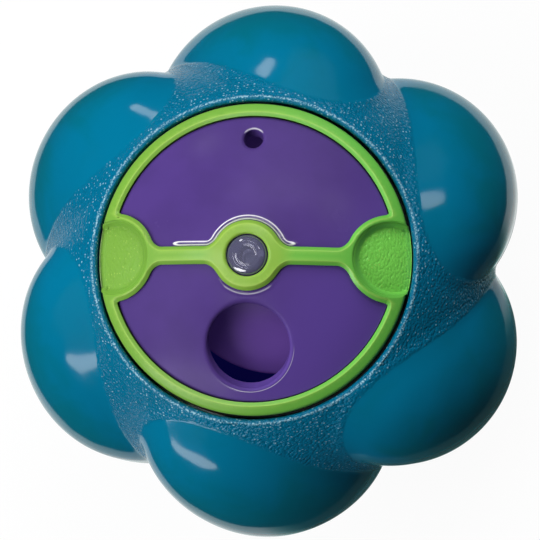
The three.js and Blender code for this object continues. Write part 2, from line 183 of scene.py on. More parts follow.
class Finishes(bpy.types.PropertyGroup):
    """Colours of the pieces, and of the painted light on them."""

    teal: colour("Teal", "Body", (0.0, 0.16, 0.29))
    deep_teal: colour("Deep teal", "Body's greener clouds", (0.0, 0.14, 0.205))
    web: colour("Web", "Body's pebbled web", (0.0, 0.148, 0.275))
    # Painted highlight specks on the pebble tips, also used along the socket's lip.
    tips: colour("Tips", "Polished tips of the web's pebbles", (0.55, 0.9, 1.0))
    # Painted glow on the inner walls, standing in for light through the walls.
    inside: colour("Inside", "Light through the walls, seen inside the ball", (0.001, 0.0006, 0.02))
    purple: colour("Purple", "Lid panel and lug ring", (0.082, 0.043, 0.22))
    # Painted light: the lid panel's brighter side.
    lit_side_purple: colour("Bright purple", "Brighter side of the lid panel", (0.116, 0.062, 0.33))
    mauve: colour("Mauve", "Shutter", (0.13, 0.062, 0.3))
    # Painted glow on the shutter, standing in for light through it.
    mauve_glow: colour("Mauve glow", "Light that comes through the shutter", (0.01, 0.0045, 0.032))
    # Painted highlight on the bead's flanks and on one side of the holes' edges.
    bead: colour("Bead", "Polished flanks of the bead beside the crossbar", (0.96, 0.94, 0.99))
    lime: colour("Lime", "Lid frame", (0.19, 0.41, 0.05))
    # Painted light: the frame's greener, brighter end.
    lit_green_lime: colour("Green lime", "Greener end of the lid frame", (0.145, 0.53, 0.07))
    # Painted highlight round the pin.
    hub_highlight_lime: colour("Hub", "Yellower lime round the pin", (0.3, 0.46, 0.05))
    # Painted light on the scoop's floor at the brighter end.
    lit_scoop_lime: colour("Scoop", "Brighter floor of the scoop at the greener end", (0.22, 0.8, 0.1))
    # Painted highlights on the frame's shoulders and pebble tips.
    lime_highlight: colour("Lime edges", "Frame's polished shoulders and pebble tips", (0.55, 0.78, 0.16))
    clear: colour("Clear", "Pin", (0.2, 0.2, 0.34))
    dark: colour("Dark", "Bayonet ring", (0.02, 0.03, 0.04))
    soft: colour("Soft grey", "Seal and washer", (0.05, 0.05, 0.055))
    steel: colour("Steel", "Spring and clip", (0.55, 0.56, 0.58))


class StageSettings(bpy.types.PropertyGroup):
    """Camera, floor and light."""

    azimuth: angle("Azimuth", "Camera's side", 57.5)
    elevation: angle("Elevation", "Camera's height", 81.2)
    roll: angle("Roll", "Camera's roll", 1.0)
    distance: length("Distance", "Camera to the ball's middle", 0.75)
    scale: number("Scale", "Pixels a millimetre at the ball's middle", 3.97)
    lamp_distance: length("Lamp distance", "Lamps to the ball's middle", 0.7)
    floor_radius: length("Floor", "Radius of the floor", 0.122)
    floor_drop: length("Floor drop", "Floor below the ball", 0.2 * MM)
    ambient: number("Ambient", "Light from all round", 0.03)


GROUPS = {"body": BodySizes, "lid": LidSizes, "finish": Finishes, "stage": StageSettings}
PREFIX = "treat_ball_"


def settings(group):
    return getattr(bpy.context.scene, PREFIX + group)


# Mesh tools


MERGE = 1e-7
NEAR_CUT = 1e-6
MOST_OF_SIDE = 1 / 2.1  # of a side, that one rounded corner may use up


def close_loop(items):
    return zip(items, items[1:] + items[:1])


def arc(centre, radius, start, end, count):
    """Points along an arc in plan, both ends included."""
    turns = [start + (end - start) * i / count for i in range(count + 1)]
    return [(centre[0] + radius * math.cos(t), centre[1] + radius * math.sin(t)) for t in turns]


def circle(radius, count):
    return arc((0, 0), radius, 0, math.tau, count)[:-1]


def band(inner, outer, low, high):
    """Corners of a plain ring's section."""
    return [(inner, low), (outer, low), (outer, high), (inner, high)]


def spin(bm, outline, steps, sweep=math.tau, start=0.0, depth=None, capped=True):
    """Turns a closed outline of (radius, height) about Z; a third number goes into the depth layer."""
    verts = [bm.verts.new((point[0], 0, point[1])) for point in outline]
    if depth:
        for vert, point in zip(verts, outline):
            vert[depth] = point[2]
    pairs = close_loop(verts) if verts[0].co.x > 0 else zip(verts, verts[1:])
    parts = verts + [bm.edges.new(pair) for pair in pairs]
    full = sweep >= math.tau
    if not full and capped:
        parts.append(bm.faces.new(verts))
        bmesh.ops.rotate(bm, verts=verts, cent=(0, 0, 0), matrix=Matrix.Rotation(start, 3, "Z"))
    bmesh.ops.spin(bm, geom=parts, cent=(0, 0, 0), axis=(0, 0, 1), angle=sweep, steps=steps, use_merge=full)


def turned(outline, steps=144):
    bm = bmesh.new()
    spin(bm, outline, steps)
    clean(bm)
    return bm


def join(bm, other):
    """Adds another mesh's closed shell to a mesh."""
    part = bpy.data.meshes.new("part")
    other.to_mesh(part)
    other.free()
    bm.from_mesh(part)
    bpy.data.meshes.remove(part)


def clean(bm):
    bmesh.ops.remove_doubles(bm, verts=bm.verts[:], dist=MERGE)
    bmesh.ops.recalc_face_normals(bm, faces=bm.faces[:])


def rounded(corners, radius, segments=4):
    """A closed outline with each of its corners rounded off."""
    outline = []
    for before, corner, after in zip(corners[-1:] + corners[:-1], corners, corners[1:] + corners[:1]):
        here = Vector(corner)
        into = Vector(before) - here
        away = Vector(after) - here
        most = min(into.length, away.length) * MOST_OF_SIDE
        into.normalize()
        away.normalize()
        cut = min(radius / math.tan(into.angle(away) / 2), most)
        for i in range(segments + 1):
            t = i / segments
            outline.append(here + into * cut * (1 - t) ** 2 + away * cut * t ** 2)
    return [tuple(point) for point in outline]


def extrude_loop(bm, edges, move):
    """Extrudes a loop of edges and moves its new points; returns the new loop."""
    made = bmesh.ops.extrude_edge_only(bm, edges=edges)["geom"]
    fresh = {item for item in made if isinstance(item, bmesh.types.BMVert)}
    for vert in fresh:
        vert.co = move(vert.co)
    return [e for e in made if isinstance(e, bmesh.types.BMEdge) and set(e.verts) <= fresh]


def draw_loop(bm, points):
    verts = [bm.verts.new((x, y, 0)) for x, y in points]
    return [bm.edges.new(pair) for pair in close_loop(verts)]


def fill_plate(bm, loops, insets, step):
    """A flat sheet inside the loops, with rows of faces along its edges and a grid cut across it."""
    edges = [edge for loop in loops for edge in draw_loop(bm, loop)]
    inner = [f for f in bmesh.ops.triangle_fill(bm, edges=edges, use_beauty=True)["geom"]
             if isinstance(f, bmesh.types.BMFace)]
    for inset in insets:
        bmesh.ops.inset_region(bm, faces=inner, thickness=inset, use_boundary=True, use_even_offset=False)
    reach = max(max(abs(v.co.x), abs(v.co.y)) for v in bm.verts)
    cuts = int(reach / step)
    for normal in (Vector((1, 0, 0)), Vector((0, 1, 0))):
        for i in range(-cuts, cuts + 1):
            parts = bm.verts[:] + bm.edges[:] + bm.faces[:]
            bmesh.ops.bisect_plane(bm, geom=parts, dist=NEAR_CUT, plane_co=normal * step * i, plane_no=normal)


def drape(bm, top, under):
    """Gives a flat sheet two layers and lays them on two heights over the plan."""
    made = bmesh.ops.extrude_face_region(bm, geom=bm.faces[:])["geom"]
    upper = {item for item in made if isinstance(item, bmesh.types.BMVert)}
    for vert in bm.verts:
        height = top if vert in upper else under
        vert.co.z = height(vert.co.x, vert.co.y)
    clean(bm)


def add_object(name, data):
    made = bpy.data.objects.new(name, data)
    bpy.context.scene.collection.objects.link(made)
    return made


def add_mesh(name, bm, material):
    mesh = bpy.data.meshes.new(name)
    bm.to_mesh(mesh)
    bm.free()
    mesh.materials.append(material)
    return add_object(name, mesh)


def add_piece(name, bm, material, body, nodes, sharp=38):
    """A piece that rides on a body and stands for some nodes; bends over sharp degrees stay sharp."""
    piece = add_mesh(name, bm, material)
    piece.data.shade_smooth()
    piece.data.set_sharp_from_angle(angle=math.radians(sharp))
    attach(piece, body)
    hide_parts(*nodes)


def smooth_max(a, b, reach):
    near = max(reach - abs(a - b), 0) / reach
    return max(a, b) + near * near * reach / 4


def round_union(a, b, radius):
    """Distance outside two joined shapes, with the corner between them filled to a radius."""
    return max(radius, min(a, b)) - math.hypot(max(radius - a, 0), max(radius - b, 0))


def ease(t):
    t = min(max(t, 0), 1)
    return t * t * (3 - 2 * t)


def bell(t):
    """1 where t is 0, falling off on both sides."""
    return math.exp(-t * t)


def quarter_round(distance, radius):
    """Drop of an edge of that radius at a distance in from it."""
    inside = min(max(distance, 0), radius)
    return radius - math.sqrt(radius * radius - (radius - inside) ** 2)


# Shader tools


GRAIN_SQUASH = (1, 1, 1.7)


class Value:
    """A socket; arithmetic on it adds Math nodes."""

    def __init__(self, graph, socket):
        self.graph = graph
        self.socket = socket

    def math(self, operation, *values):
        return self.graph.node("ShaderNodeMath", {"operation": operation}, dict(enumerate(values)))

    def __add__(self, other):
        return self.math("ADD", self, other)

    def __sub__(self, other):
        return self.math("SUBTRACT", self, other)

    def __rsub__(self, other):
        return self.math("SUBTRACT", other, self)

    def __mul__(self, other):
        return self.math("MULTIPLY", self, other)

    def __pow__(self, other):
        return self.math("POWER", self, other)

    def __abs__(self):
        return self.math("ABSOLUTE", self)

    __radd__ = __add__
    __rmul__ = __mul__


class Graph:
    """The nodes of one material or of the world."""

    def __init__(self, owner):
        owner.use_nodes = True
        self.tree = owner.node_tree
        self.tree.nodes.clear()

    def node(self, kind, options=None, sockets=None, out=0):
        made = self.tree.nodes.new(kind)
        for key, value in (options or {}).items():
            setattr(made, key, value)
        for key, value in (sockets or {}).items():
            if isinstance(value, Value):
                self.tree.links.new(value.socket, made.inputs[key])
            else:
                made.inputs[key].default_value = value
        return Value(self, made.outputs[out]) if made.outputs else None

    def mix(self, factor, a, b):
        return self.node("ShaderNodeMix", {"data_type": "RGBA"}, {0: factor, 6: a, 7: b}, out=2)

    def mix_shader(self, factor, a, b):
        return self.node("ShaderNodeMixShader", None, {0: factor, 1: a, 2: b})

    def vector_math(self, operation, *vectors, out=0):
        return self.node("ShaderNodeVectorMath", {"operation": operation}, dict(enumerate(vectors)), out)

    def attribute(self, name):
        return self.node("ShaderNodeAttribute", {"attribute_name": name}, out="Fac")

    def ray(self, kind):
        return self.node("ShaderNodeLightPath", out="Is " + kind + " Ray")

    def seen(self):
        """1 for what the camera sees, also through clear plastic."""
        return self.ray("Camera") + self.ray("Transmission")

    def place(self, scale=(1, 1, 1)):
        point = self.node("ShaderNodeTexCoord", out="Object")
        return self.node("ShaderNodeMapping", None, {"Vector": point, "Scale": scale})

    def along(self, direction):
        """Distance from the lid's axis along a direction in plan."""
        return self.vector_math("DOT_PRODUCT", self.place(), (*direction, 0), out="Value")

    def from_axis(self):
        """Distance from the lid's axis."""
        flat = self.vector_math("MULTIPLY", self.place(), (1, 1, 0))
        return self.vector_math("LENGTH", flat, out="Value")

    def noise(self, size, detail=2.0, stretch=(1, 1, 1), distortion=0.0):
        sockets = {
            "Vector": self.place(stretch),
            "Scale": 1 / size,
            "Detail": detail,
            "Distortion": distortion,
        }
        return self.node("ShaderNodeTexNoise", None, sockets)

    def grains(self, size, out="Distance"):
        """Cells about that size: how far a point is from its cell's middle, or the cell's random colour."""
        sockets = {"Vector": self.place(GRAIN_SQUASH), "Scale": 1 / size}
        return self.node("ShaderNodeTexVoronoi", None, sockets, out)

    def lot(self, size):
        """A random number for each grain."""
        return self.node("ShaderNodeSeparateColor", None, {"Color": self.grains(size, "Color")})

    def pebbles(self, size):
        """Rounded grains with creases between them, about 1 high in the middle of a grain."""
        return 1.0 - self.grains(size) ** 2.0 * 1.2

    def ramp(self, value, low, high, start=0.0, end=1.0):
        sockets = {"Value": value, "From Min": low, "From Max": high, "To Min": start, "To Max": end}
        return self.node("ShaderNodeMapRange", {"interpolation_type": "SMOOTHSTEP"}, sockets)

    def bump(self, height, distance, strength=1.0):
        sockets = {"Height": height, "Distance": distance, "Strength": strength}
        return self.node("ShaderNodeBump", None, sockets)

    def surface(self, sockets):
        shader = self.node("ShaderNodeBsdfPrincipled", None, sockets)
        self.node("ShaderNodeOutputMaterial", None, {"Surface": shader})


def rgba(rgb, shade=1.0):
    return (*(channel * shade for channel in rgb), 1.0)


def new_material(name):
    material = bpy.data.materials.new(name)
    return material, Graph(material)


# Materials


WEB_LIMIT = 5.0  # the web attribute: the web's lead over a lobe in millimetres, up to this either way
INSIDE_MARK = -9.0  # its value on the inner walls
BLACK = (0, 0, 0, 1)
WHITE = (1, 1, 1, 1)

WEB_FRAY = 2 * MM
WEB_PEBBLE = 0.8 * MM
WEB_GRIT = 0.45 * MM
WEB_DEPTH = 0.2 * MM
LOBE_RIPPLE = 11 * MM
CLOUD = 13 * MM
CLOUD_START = 8 * MM
GLOSS_PATCH = 5 * MM
LIP_HIGHLIGHT_REACH = 6 * MM
LIP_HIGHLIGHT_GRAIN = 0.5 * MM
LIP_HIGHLIGHT_BAND = (-0.1 * MM, 0.2 * MM, 0.3 * MM, 0.75 * MM)  # where the painted highlight on the lip sets in and dies out


def teal_plastic(name, has_lip_highlight):
    """Glossy swirled lobes and pebbled web, told apart by the web attribute, with painted highlight specks on
    pebble tips, a painted highlight along the socket's lip and a painted glow on the inner walls.
    """
    finish = settings("finish")
    body = settings("body")
    lip_top = SOCKET_RADIUS + body.lip_round
    material, graph = new_material(name)
    web = graph.attribute("web")
    mask = graph.ramp(web + graph.noise(WEB_FRAY, 2) * 0.5, 0.05, 0.9)
    outward = graph.ramp(graph.from_axis(), body.core_radius - CLOUD_START, body.lobe_tip)
    cloud = graph.noise(CLOUD, 3, distortion=0.6) * 0.8 + outward * 0.45
    base = graph.mix(graph.ramp(cloud, 0.35, 0.85), rgba(finish.teal), rgba(finish.deep_teal))
    base = graph.mix(mask, base, rgba(finish.web))
    chosen = graph.lot(WEB_PEBBLE)
    # More painted highlight specks near the socket's lip.
    if has_lip_highlight:
        chosen = chosen + graph.ramp(graph.from_axis(), lip_top + LIP_HIGHLIGHT_REACH, lip_top) * 0.25
    # Painted highlight specks on chosen pebble tips of the web.
    tips = graph.ramp(graph.grains(WEB_PEBBLE), 0.38, 0.1) * graph.ramp(chosen, 0.65, 1.0) * mask
    base = graph.mix(tips * 0.5, base, rgba(finish.tips))
    # Painted highlight in a grainy band along the socket's lip.
    if has_lip_highlight:
        starts, full, fades, ends = (lip_top + offset for offset in LIP_HIGHLIGHT_BAND)
        lip_highlight = graph.ramp(graph.from_axis(), starts, full) * graph.ramp(graph.from_axis(), ends, fades)
        lip_highlight_grain = graph.ramp(graph.noise(LIP_HIGHLIGHT_GRAIN, 2), 0.4, 0.62)
        base = graph.mix(lip_highlight * lip_highlight_grain * mask * 0.5, base, rgba(finish.tips))
    pebbles = graph.pebbles(WEB_PEBBLE) + graph.noise(WEB_GRIT, 2) * 0.5
    ripple = graph.noise(LOBE_RIPPLE, 1) * 1.2
    # Painted glow on the inner walls, standing in for light through them.
    indoors = graph.ramp(web, INSIDE_MARK + 2, INSIDE_MARK)
    graph.surface({
        "Base Color": base,
        "Roughness": 0.06 + graph.noise(GLOSS_PATCH, 3) * 0.08,
        "IOR": 1.46,
        "Emission Color": graph.mix(indoors, BLACK, rgba(finish.inside)),
        "Emission Strength": 1.0,
        "Normal": graph.bump(pebbles * mask + ripple, WEB_DEPTH),
    })
    return material


PANEL_HAZE = 9 * MM
PANEL_WAVE = 6 * MM
PANEL_WAVE_DEPTH = 0.02 * MM
# Painted light: the way along which the panel is painted brighter, where that starts and where it is full.
LIT_SIDE_WAY = (0.85, -0.53)
LIT_SIDE_START = 4 * MM
LIT_SIDE_END = 30 * MM


def purple_plastic(name, rgb, lit_side, glow=(0, 0, 0)):
    """Satin purple, painted brighter on one side as painted light, glossy and painted with highlights where
    the bead attribute says so, with a painted glow standing in for light through the plastic.
    """
    finish = settings("finish")
    material, graph = new_material(name)
    haze = graph.noise(PANEL_HAZE, 3)
    base = graph.mix(graph.ramp(haze, 0.3, 0.75), rgba(rgb), rgba(rgb, 0.88))
    # Painted light: brighter towards one side.
    base = graph.mix(graph.ramp(graph.along(LIT_SIDE_WAY), LIT_SIDE_START, LIT_SIDE_END), base, rgba(lit_side))
    bead = graph.attribute("bead")
    # Painted highlight along the bead and one side of the holes' edges; the same attribute also gives real
    # gloss through the coat.
    bead_highlight = graph.ramp(bead, 0.2, 0.45) * graph.ramp(bead, 0.95, 0.6)
    base = graph.mix(bead_highlight, base, rgba(finish.bead))
    graph.surface({
        "Base Color": base,
        "Roughness": 0.2 + haze * 0.1 - bead * 0.22,
        "IOR": 1.24,
        "Coat Weight": bead,
        "Coat Roughness": 0.06,
        "Coat IOR": 2.2,
        # A painted glow, standing in for light through the plastic; only the shutter is given one.
        "Emission Color": rgba(glow),
        "Emission Strength": 1.0,
        "Normal": graph.bump(graph.noise(PANEL_WAVE, 1), PANEL_WAVE_DEPTH, 0.4),
    })
    return material


SCOOP_PEBBLE = 0.75 * MM
SCOOP_EDGE = 0.3 * MM
SCOOP_FULL = 1.6 * MM
SCOOP_PEBBLE_DEPTH = 0.15 * MM
LIME_HAZE = 7 * MM
LIME_GRIT = 0.35 * MM
HUB_HIGHLIGHT_FULL = 7 * MM
HUB_HIGHLIGHT_FADE = 12 * MM


def lime_plastic():
    """Satin lime, pebbled in the finger scoops, with painted light: greener and brighter towards one end and
    on that scoop's floor, and painted highlights round the pin, along the shoulders and on the scoops' pebble
    tips.
    """
    finish = settings("finish")
    lid = settings("lid")
    material, graph = new_material("lime_plastic")
    x = graph.along((1, 0))
    y = graph.along((0, 1))
    beside = abs(x) - (FRAME_OUTER - lid.pad_inset)
    from_pad = (beside * beside + y * y) ** 0.5
    scoop = graph.ramp(from_pad, lid.scoop_radius - SCOOP_EDGE, lid.scoop_radius - SCOOP_FULL)
    # Painted light: greener and brighter towards +X.
    side = graph.ramp(x, -0.6 * FRAME_OUTER, 0.9 * FRAME_OUTER)
    greener = side + graph.noise(LIME_HAZE, 3) * 0.3 - 0.15
    base = graph.mix(greener, rgba(finish.lime), rgba(finish.lit_green_lime))
    # Painted highlight: yellower round the pin.
    pin_highlight = graph.ramp(graph.from_axis(), HUB_HIGHLIGHT_FADE, HUB_HIGHLIGHT_FULL)
    base = graph.mix(pin_highlight * 0.6, base, rgba(finish.hub_highlight_lime))
    # Painted light: a brighter scoop floor at the greener end.
    base = graph.mix(scoop * side * 0.9, base, rgba(finish.lit_scoop_lime))
    # Painted highlights on chosen pebble tips in the scoops and along the frame's shoulders, and a little
    # painted light on the scoops' floors.
    chosen = graph.ramp(graph.lot(SCOOP_PEBBLE), 0.5, 0.9)
    tips = graph.ramp(graph.grains(SCOOP_PEBBLE), 0.34, 0.1) * chosen * scoop
    highlighted = tips * 0.55 + graph.attribute("shoulder_highlight") * 0.35 + scoop * 0.04
    base = graph.mix(highlighted, base, rgba(finish.lime_highlight))
    height = graph.pebbles(SCOOP_PEBBLE) * scoop + graph.noise(LIME_GRIT, 2) * 0.05
    graph.surface({
        "Base Color": base,
        "Roughness": 0.3,
        "IOR": 1.5,
        "Coat Weight": 0.2 + scoop * 0.8,
        "Coat Roughness": 0.14,
        "Coat IOR": 1.5,
        "Normal": graph.bump(height, SCOOP_PEBBLE_DEPTH, 0.8),
    })
    return material


CLEAR_PATCH = 3 * MM


def clear_plastic():
    finish = settings("finish")
    material, graph = new_material("clear_plastic")
    graph.surface({
        "Base Color": rgba(finish.clear),
        "Roughness": 0.06 + graph.noise(CLEAR_PATCH, 2) * 0.04,
        "IOR": 1.585,
        "Transmission Weight": 0.6,
        "Coat Weight": 1.0,
        "Coat Roughness": 0.05,
        "Coat IOR": 2.1,
    })
    return material


MOULD_DEPTH = 0.05 * MM
DARK_GRAIN = 0.3 * MM
RUBBER_GRAIN = 0.25 * MM


def moulded(name, rgb, roughness, grain):
    """A plain moulded plastic or rubber with a fine grain."""
    material, graph = new_material(name)
    speck = graph.noise(grain, 3)
    graph.surface({
        "Base Color": graph.mix(graph.ramp(speck, 0.3, 0.8), rgba(rgb), rgba(rgb, 0.75)),
        "Roughness": roughness + speck * 0.12,
        "Normal": graph.bump(speck, MOULD_DEPTH, 0.4),
    })
    return material


SCRATCH = 0.4 * MM
SCRATCH_STRETCH = (1, 1, 8)
SCRATCH_DEPTH = 0.02 * MM


def spring_steel():
    finish = settings("finish")
    material, graph = new_material("spring_steel")
    scratch = graph.noise(SCRATCH, 3, SCRATCH_STRETCH)
    graph.surface({
        "Base Color": graph.mix(scratch, rgba(finish.steel), rgba(finish.steel, 0.8)),
        "Metallic": 1.0,
        "Roughness": 0.22 + scratch * 0.16,
        "Normal": graph.bump(scratch, SCRATCH_DEPTH, 0.3),
    })
    return material


# Body


LOBES = 6
LOBE_STEPS = 72
BORE_ROWS = 8
LIP_STEPS = 10
SEAM_STEPS = 4
FRONT_ROWS = 92
REAR_ROWS = 112
INNER_ROWS = 40
RECESS_RINGS = (0.3, 0.6, 0.9)
TONGUE_START = 0.3 * MM
GROOVE_START = 0.5 * MM
SHELL_SHARP = 50

# Depths below zero mark the rows of a wall that stay round; the others are depths under its outer face.
LIP = -1.0
PLAIN = -2.0
FLOOR = -3.0
WEB_OF = {LIP: WEB_LIMIT, PLAIN: -WEB_LIMIT, FLOOR: INSIDE_MARK}


def core_height(body, radius, depth=0.0):
    return (body.core_rise - depth) * math.sqrt(1 - (radius / (body.core_radius - depth)) ** 2)


def core_width(body, height, depth=0.0):
    return (body.core_radius - depth) * math.sqrt(1 - (height / (body.core_rise - depth)) ** 2)


def core_reach(body, outward, upward, depth):
    """How far the web reaches from the ball's middle along a direction."""
    return 1 / math.hypot(outward / (body.core_radius - depth), upward / (body.core_rise - depth))


def lobe_reach(body, way, depth):
    """How far the nearest lobe reaches from the ball's middle along a direction, or 0 beside the lobes."""
    lobe_turn = math.tau / LOBES
    side = math.atan2(way.y, way.x) % lobe_turn - lobe_turn / 2
    centre = body.lobe_tip - body.lobe_radius
    along = math.hypot(way.x, way.y) * math.cos(side) * centre
    root = along ** 2 - centre ** 2 + (body.lobe_radius - depth) ** 2
    return along + math.sqrt(root) if root > 0 and along > 0 else 0.0


def twist_at(body, height):
    turn = body.lobe_twist / MM * (math.hypot(height, body.twist_ease) - body.twist_ease)
    return -math.copysign(turn, height)


def turn_wall(outline):
    """A turned shell made of six like parts; returns it and its depth layer."""
    bm = bmesh.new()
    depth = bm.verts.layers.float.new("depth")
    lobe_turn = math.tau / LOBES
    spin(bm, outline, LOBE_STEPS, lobe_turn, depth=depth, capped=False)
    bmesh.ops.spin(bm, geom=bm.verts[:] + bm.edges[:] + bm.faces[:], cent=(0, 0, 0), axis=(0, 0, 1),
                   angle=lobe_turn * (LOBES - 1), steps=LOBES - 1, use_duplicate=True)
    clean(bm)
    return bm, depth


def swell(bm, body, depth):
    """Pushes the turned wall out into twisted lobes, marks the web and lifts the wall to its place."""
    web = bm.verts.layers.float.new("web")
    for vert in bm.verts:
        inset = vert[depth]
        if inset < 0:
            vert[web] = WEB_OF[inset]
            continue
        way = vert.co.normalized()
        core = core_reach(body, math.hypot(way.x, way.y), way.z, inset)
        lobe = lobe_reach(body, way, inset)
        softer = ease((abs(core * way.z) - body.blend_start) / body.blend_run)
        vert.co = way * smooth_max(core, lobe, body.crease + (body.blend - body.crease) * softer)
        vert.co = Matrix.Rotation(twist_at(body, vert.co.z), 3, "Z") @ vert.co
        lead = min(max((core - lobe) / MM, -WEB_LIMIT), WEB_LIMIT)
        vert[web] = lead if inset < body.seam_round else INSIDE_MARK
    bm.verts.layers.float.remove(depth)
    bmesh.ops.translate(bm, verts=bm.verts[:], vec=(0, 0, EQUATOR))


def wall_rows(body, start, end, count, depth):
    """(radius, height, depth) rows of the wall between two heights, evenly spaced as seen from the middle."""
    rows = []
    first, last = (math.atan2(z, core_width(body, z, depth)) for z in (start, end))
    for i in range(count + 1):
        way = first + (last - first) * i / count
        reach = core_reach(body, math.cos(way), math.sin(way), depth)
        rows.append((reach * math.cos(way), reach * math.sin(way), depth))
    return rows


def seam_edge(body, side):
    """The rounded edge at the seam, from the outer wall inwards, on the side above (1) or below (-1)."""
    rows = []
    for i in range(1, SEAM_STEPS + 1):
        turn = math.pi / 2 * i / SEAM_STEPS
        depth = body.seam_round * (1 - math.cos(turn))
        height = side * (SEAM + body.seam_round * (1 - math.sin(turn)))
        rows.append((core_width(body, height, depth), height, depth))
    return rows


class TREATBALL_OT_front_half(bpy.types.Operator):
    """Builds the front half of the body, with the socket for the lid"""

    bl_idname = "treat_ball.front_half"
    bl_label = "Front half"

    def execute(self, context):
        body = settings("body")
        socket_top = core_height(body, SOCKET_RADIUS)
        tilt = math.atan2(SOCKET_RADIUS / body.core_radius ** 2, socket_top / body.core_rise ** 2)
        lip = SOCKET_RADIUS + body.lip_round
        meet = lip + body.lip_round * math.sin(tilt)
        lip_at = core_height(body, meet) - body.lip_round * math.cos(tilt)
        throat = SOCKET_RADIUS - body.throat_width
        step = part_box("bayonet_ring")[0].z - FIT - EQUATOR
        foot = step - body.throat_depth
        sleeve = SOCKET_RADIUS + body.sleeve_wall
        row = (lip_at - body.lip_round - step) / BORE_ROWS
        outline = [(throat, foot, PLAIN), (throat, step, PLAIN)]
        outline += [(SOCKET_RADIUS, step + row * i, PLAIN) for i in range(BORE_ROWS)]
        for r, z in arc((lip, lip_at), body.lip_round, math.pi, math.pi / 2 - tilt, LIP_STEPS)[:-1]:
            outline.append((r, z, LIP))
        outline += wall_rows(body, core_height(body, meet), SEAM + body.seam_round, FRONT_ROWS, 0.0)
        outline += seam_edge(body, 1)
        outline.append((core_width(body, SEAM, body.tongue_inset), SEAM, body.tongue_inset))
        outline += wall_rows(body, -TONGUE_START, -body.tongue_depth, 2, body.tongue_inset)
        inner_top = core_height(body, sleeve, body.wall)
        outline += wall_rows(body, -body.tongue_depth, inner_top, INNER_ROWS, body.wall)
        outline.append((sleeve, foot, PLAIN))
        bm, depth = turn_wall(outline)
        swell(bm, body, depth)
        teal = teal_plastic("front_teal", True)
        add_piece("front_half", bm, teal, "shell", ["front_shell"], SHELL_SHARP)
        return {"FINISHED"}


class TREATBALL_OT_rear_half(bpy.types.Operator):
    """Builds the closed rear half of the body, with the flat it stands on"""

    bl_idname = "treat_ball.rear_half"
    bl_label = "Rear half"

    def execute(self, context):
        body = settings("body")
        base = -EQUATOR
        recess = base + body.recess_depth
        floor = base + body.base_wall
        edge = body.base_edge
        side = body.recess_radius
        outline = [(0, recess, LIP)]
        outline += [(side * share, recess, LIP) for share in RECESS_RINGS]
        outline += [(side - edge, recess, LIP), (side, recess - edge, LIP)]
        outline += [(side, base + edge, LIP), (side + edge, base, LIP)]
        outline.append((core_width(body, base) - 2 * edge, base, LIP))
        outline += wall_rows(body, base + 0.6 * edge, -SEAM - body.seam_round, REAR_ROWS, 0.0)
        outline += seam_edge(body, -1)
        groove = body.tongue_inset - FIT
        groove_floor = -body.tongue_depth - FIT
        outline.append((core_width(body, SEAM, groove), -SEAM, groove))
        outline += wall_rows(body, -GROOVE_START, groove_floor, 2, groove)
        outline += wall_rows(body, groove_floor, floor, INNER_ROWS, body.wall)
        outline.append((0, floor, FLOOR))
        bm, depth = turn_wall(outline)
        swell(bm, body, depth)
        teal = teal_plastic("rear_teal", False)
        add_piece("rear_half", bm, teal, "shell", ["rear_shell"], SHELL_SHARP)
        return {"FINISHED"}


# Lid


MOULD_ROUND = 0.3 * MM  # softened edges of the lid's plain parts
PAD_CLEAR = 0.4 * MM  # the panel begins to drop this far inside a pad's edge
PAD_RAMP = 1.5 * MM
BEAD_BELOW_SHARE = 0.3
# Painted highlight strengths beside the vent and the treat hole.
VENT_HIGHLIGHT = 0.36
HOLE_HIGHLIGHT = 0.33
PANEL_SIDES = 128
PANEL_LINE_STEPS = 36
PANEL_BORE_STEPS = 12
PANEL_OUTER_SHARE = 0.42  # of the way in to a hole, where the rows are closer
PANEL_OUTER_ROWS = 36
PANEL_INNER_ROWS = 18
HOLE_LIP_ROWS = 5
BEAD_FINE = 0.01
RISER_STUB = 1 * MM
RISER_SINK = 0.5 * MM
BOSS_SINK = 1 * MM
PEG_SINK = 0.5 * MM
PEG_PAST_SHUTTER = 0.6 * MM


def dome(radius, depth):
    """Height of the lid's dome, or of one parallel to it, at a radius."""
    lid = settings("lid")
    rim = core_height(settings("body"), SOCKET_RADIUS)
    centre = EQUATOR + rim - math.sqrt(lid.dome_radius ** 2 - FRAME_OUTER ** 2)
    return centre + math.sqrt((lid.dome_radius - depth) ** 2 - radius * radius)


def flange_top():
    return EQUATOR + core_height(settings("body"), SOCKET_RADIUS) - settings("lid").ring_depth


def panel_edge():
    return FRAME_OUTER - settings("lid").ring_width - FIT


def pin_bore():
    return settings("lid").pin_radius + FIT


def shutter_depth():
    """Depth of the shutter's disc under the lid's dome."""
    return dome(0, 0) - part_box("shutter")[1].z + settings("lid").shutter_step


def pad_place(x, y):
    """Distance from the middle of the nearer finger pad."""
    return math.hypot(abs(x) - (FRAME_OUTER - settings("lid").pad_inset), y)


def outside_bar_and_hub(x, y):
    lid = settings("lid")
    return round_union(abs(y) - lid.bar_width / 2, math.hypot(x, y) - lid.hub_radius, lid.fillet)


def outside_frame(x, y):
    """Distance from the frame at a place in one of its two windows, below zero on the frame."""
    lid = settings("lid")
    middle = round_union(outside_bar_and_hub(x, y), pad_place(x, y) - lid.pad_radius, lid.fillet)
    ring = FRAME_OUTER - lid.ring_width - math.hypot(x, y)
    return round_union(middle, ring, lid.corner)


def bead_share(x, y):
    """How much of the bead's height a place on the panel has."""
    lid = settings("lid")
    beside = (outside_bar_and_hub(x, y) - lid.bead_width * 1.5) / lid.bead_width
    reach = lid.bead_right if x > 0 else lid.bead_left
    share = 1.0
    if y < 0:
        reach = lid.bead_below
        share = BEAD_BELOW_SHARE
    return bell(beside) * share * ease((reach - abs(x)) / lid.bead_fade)


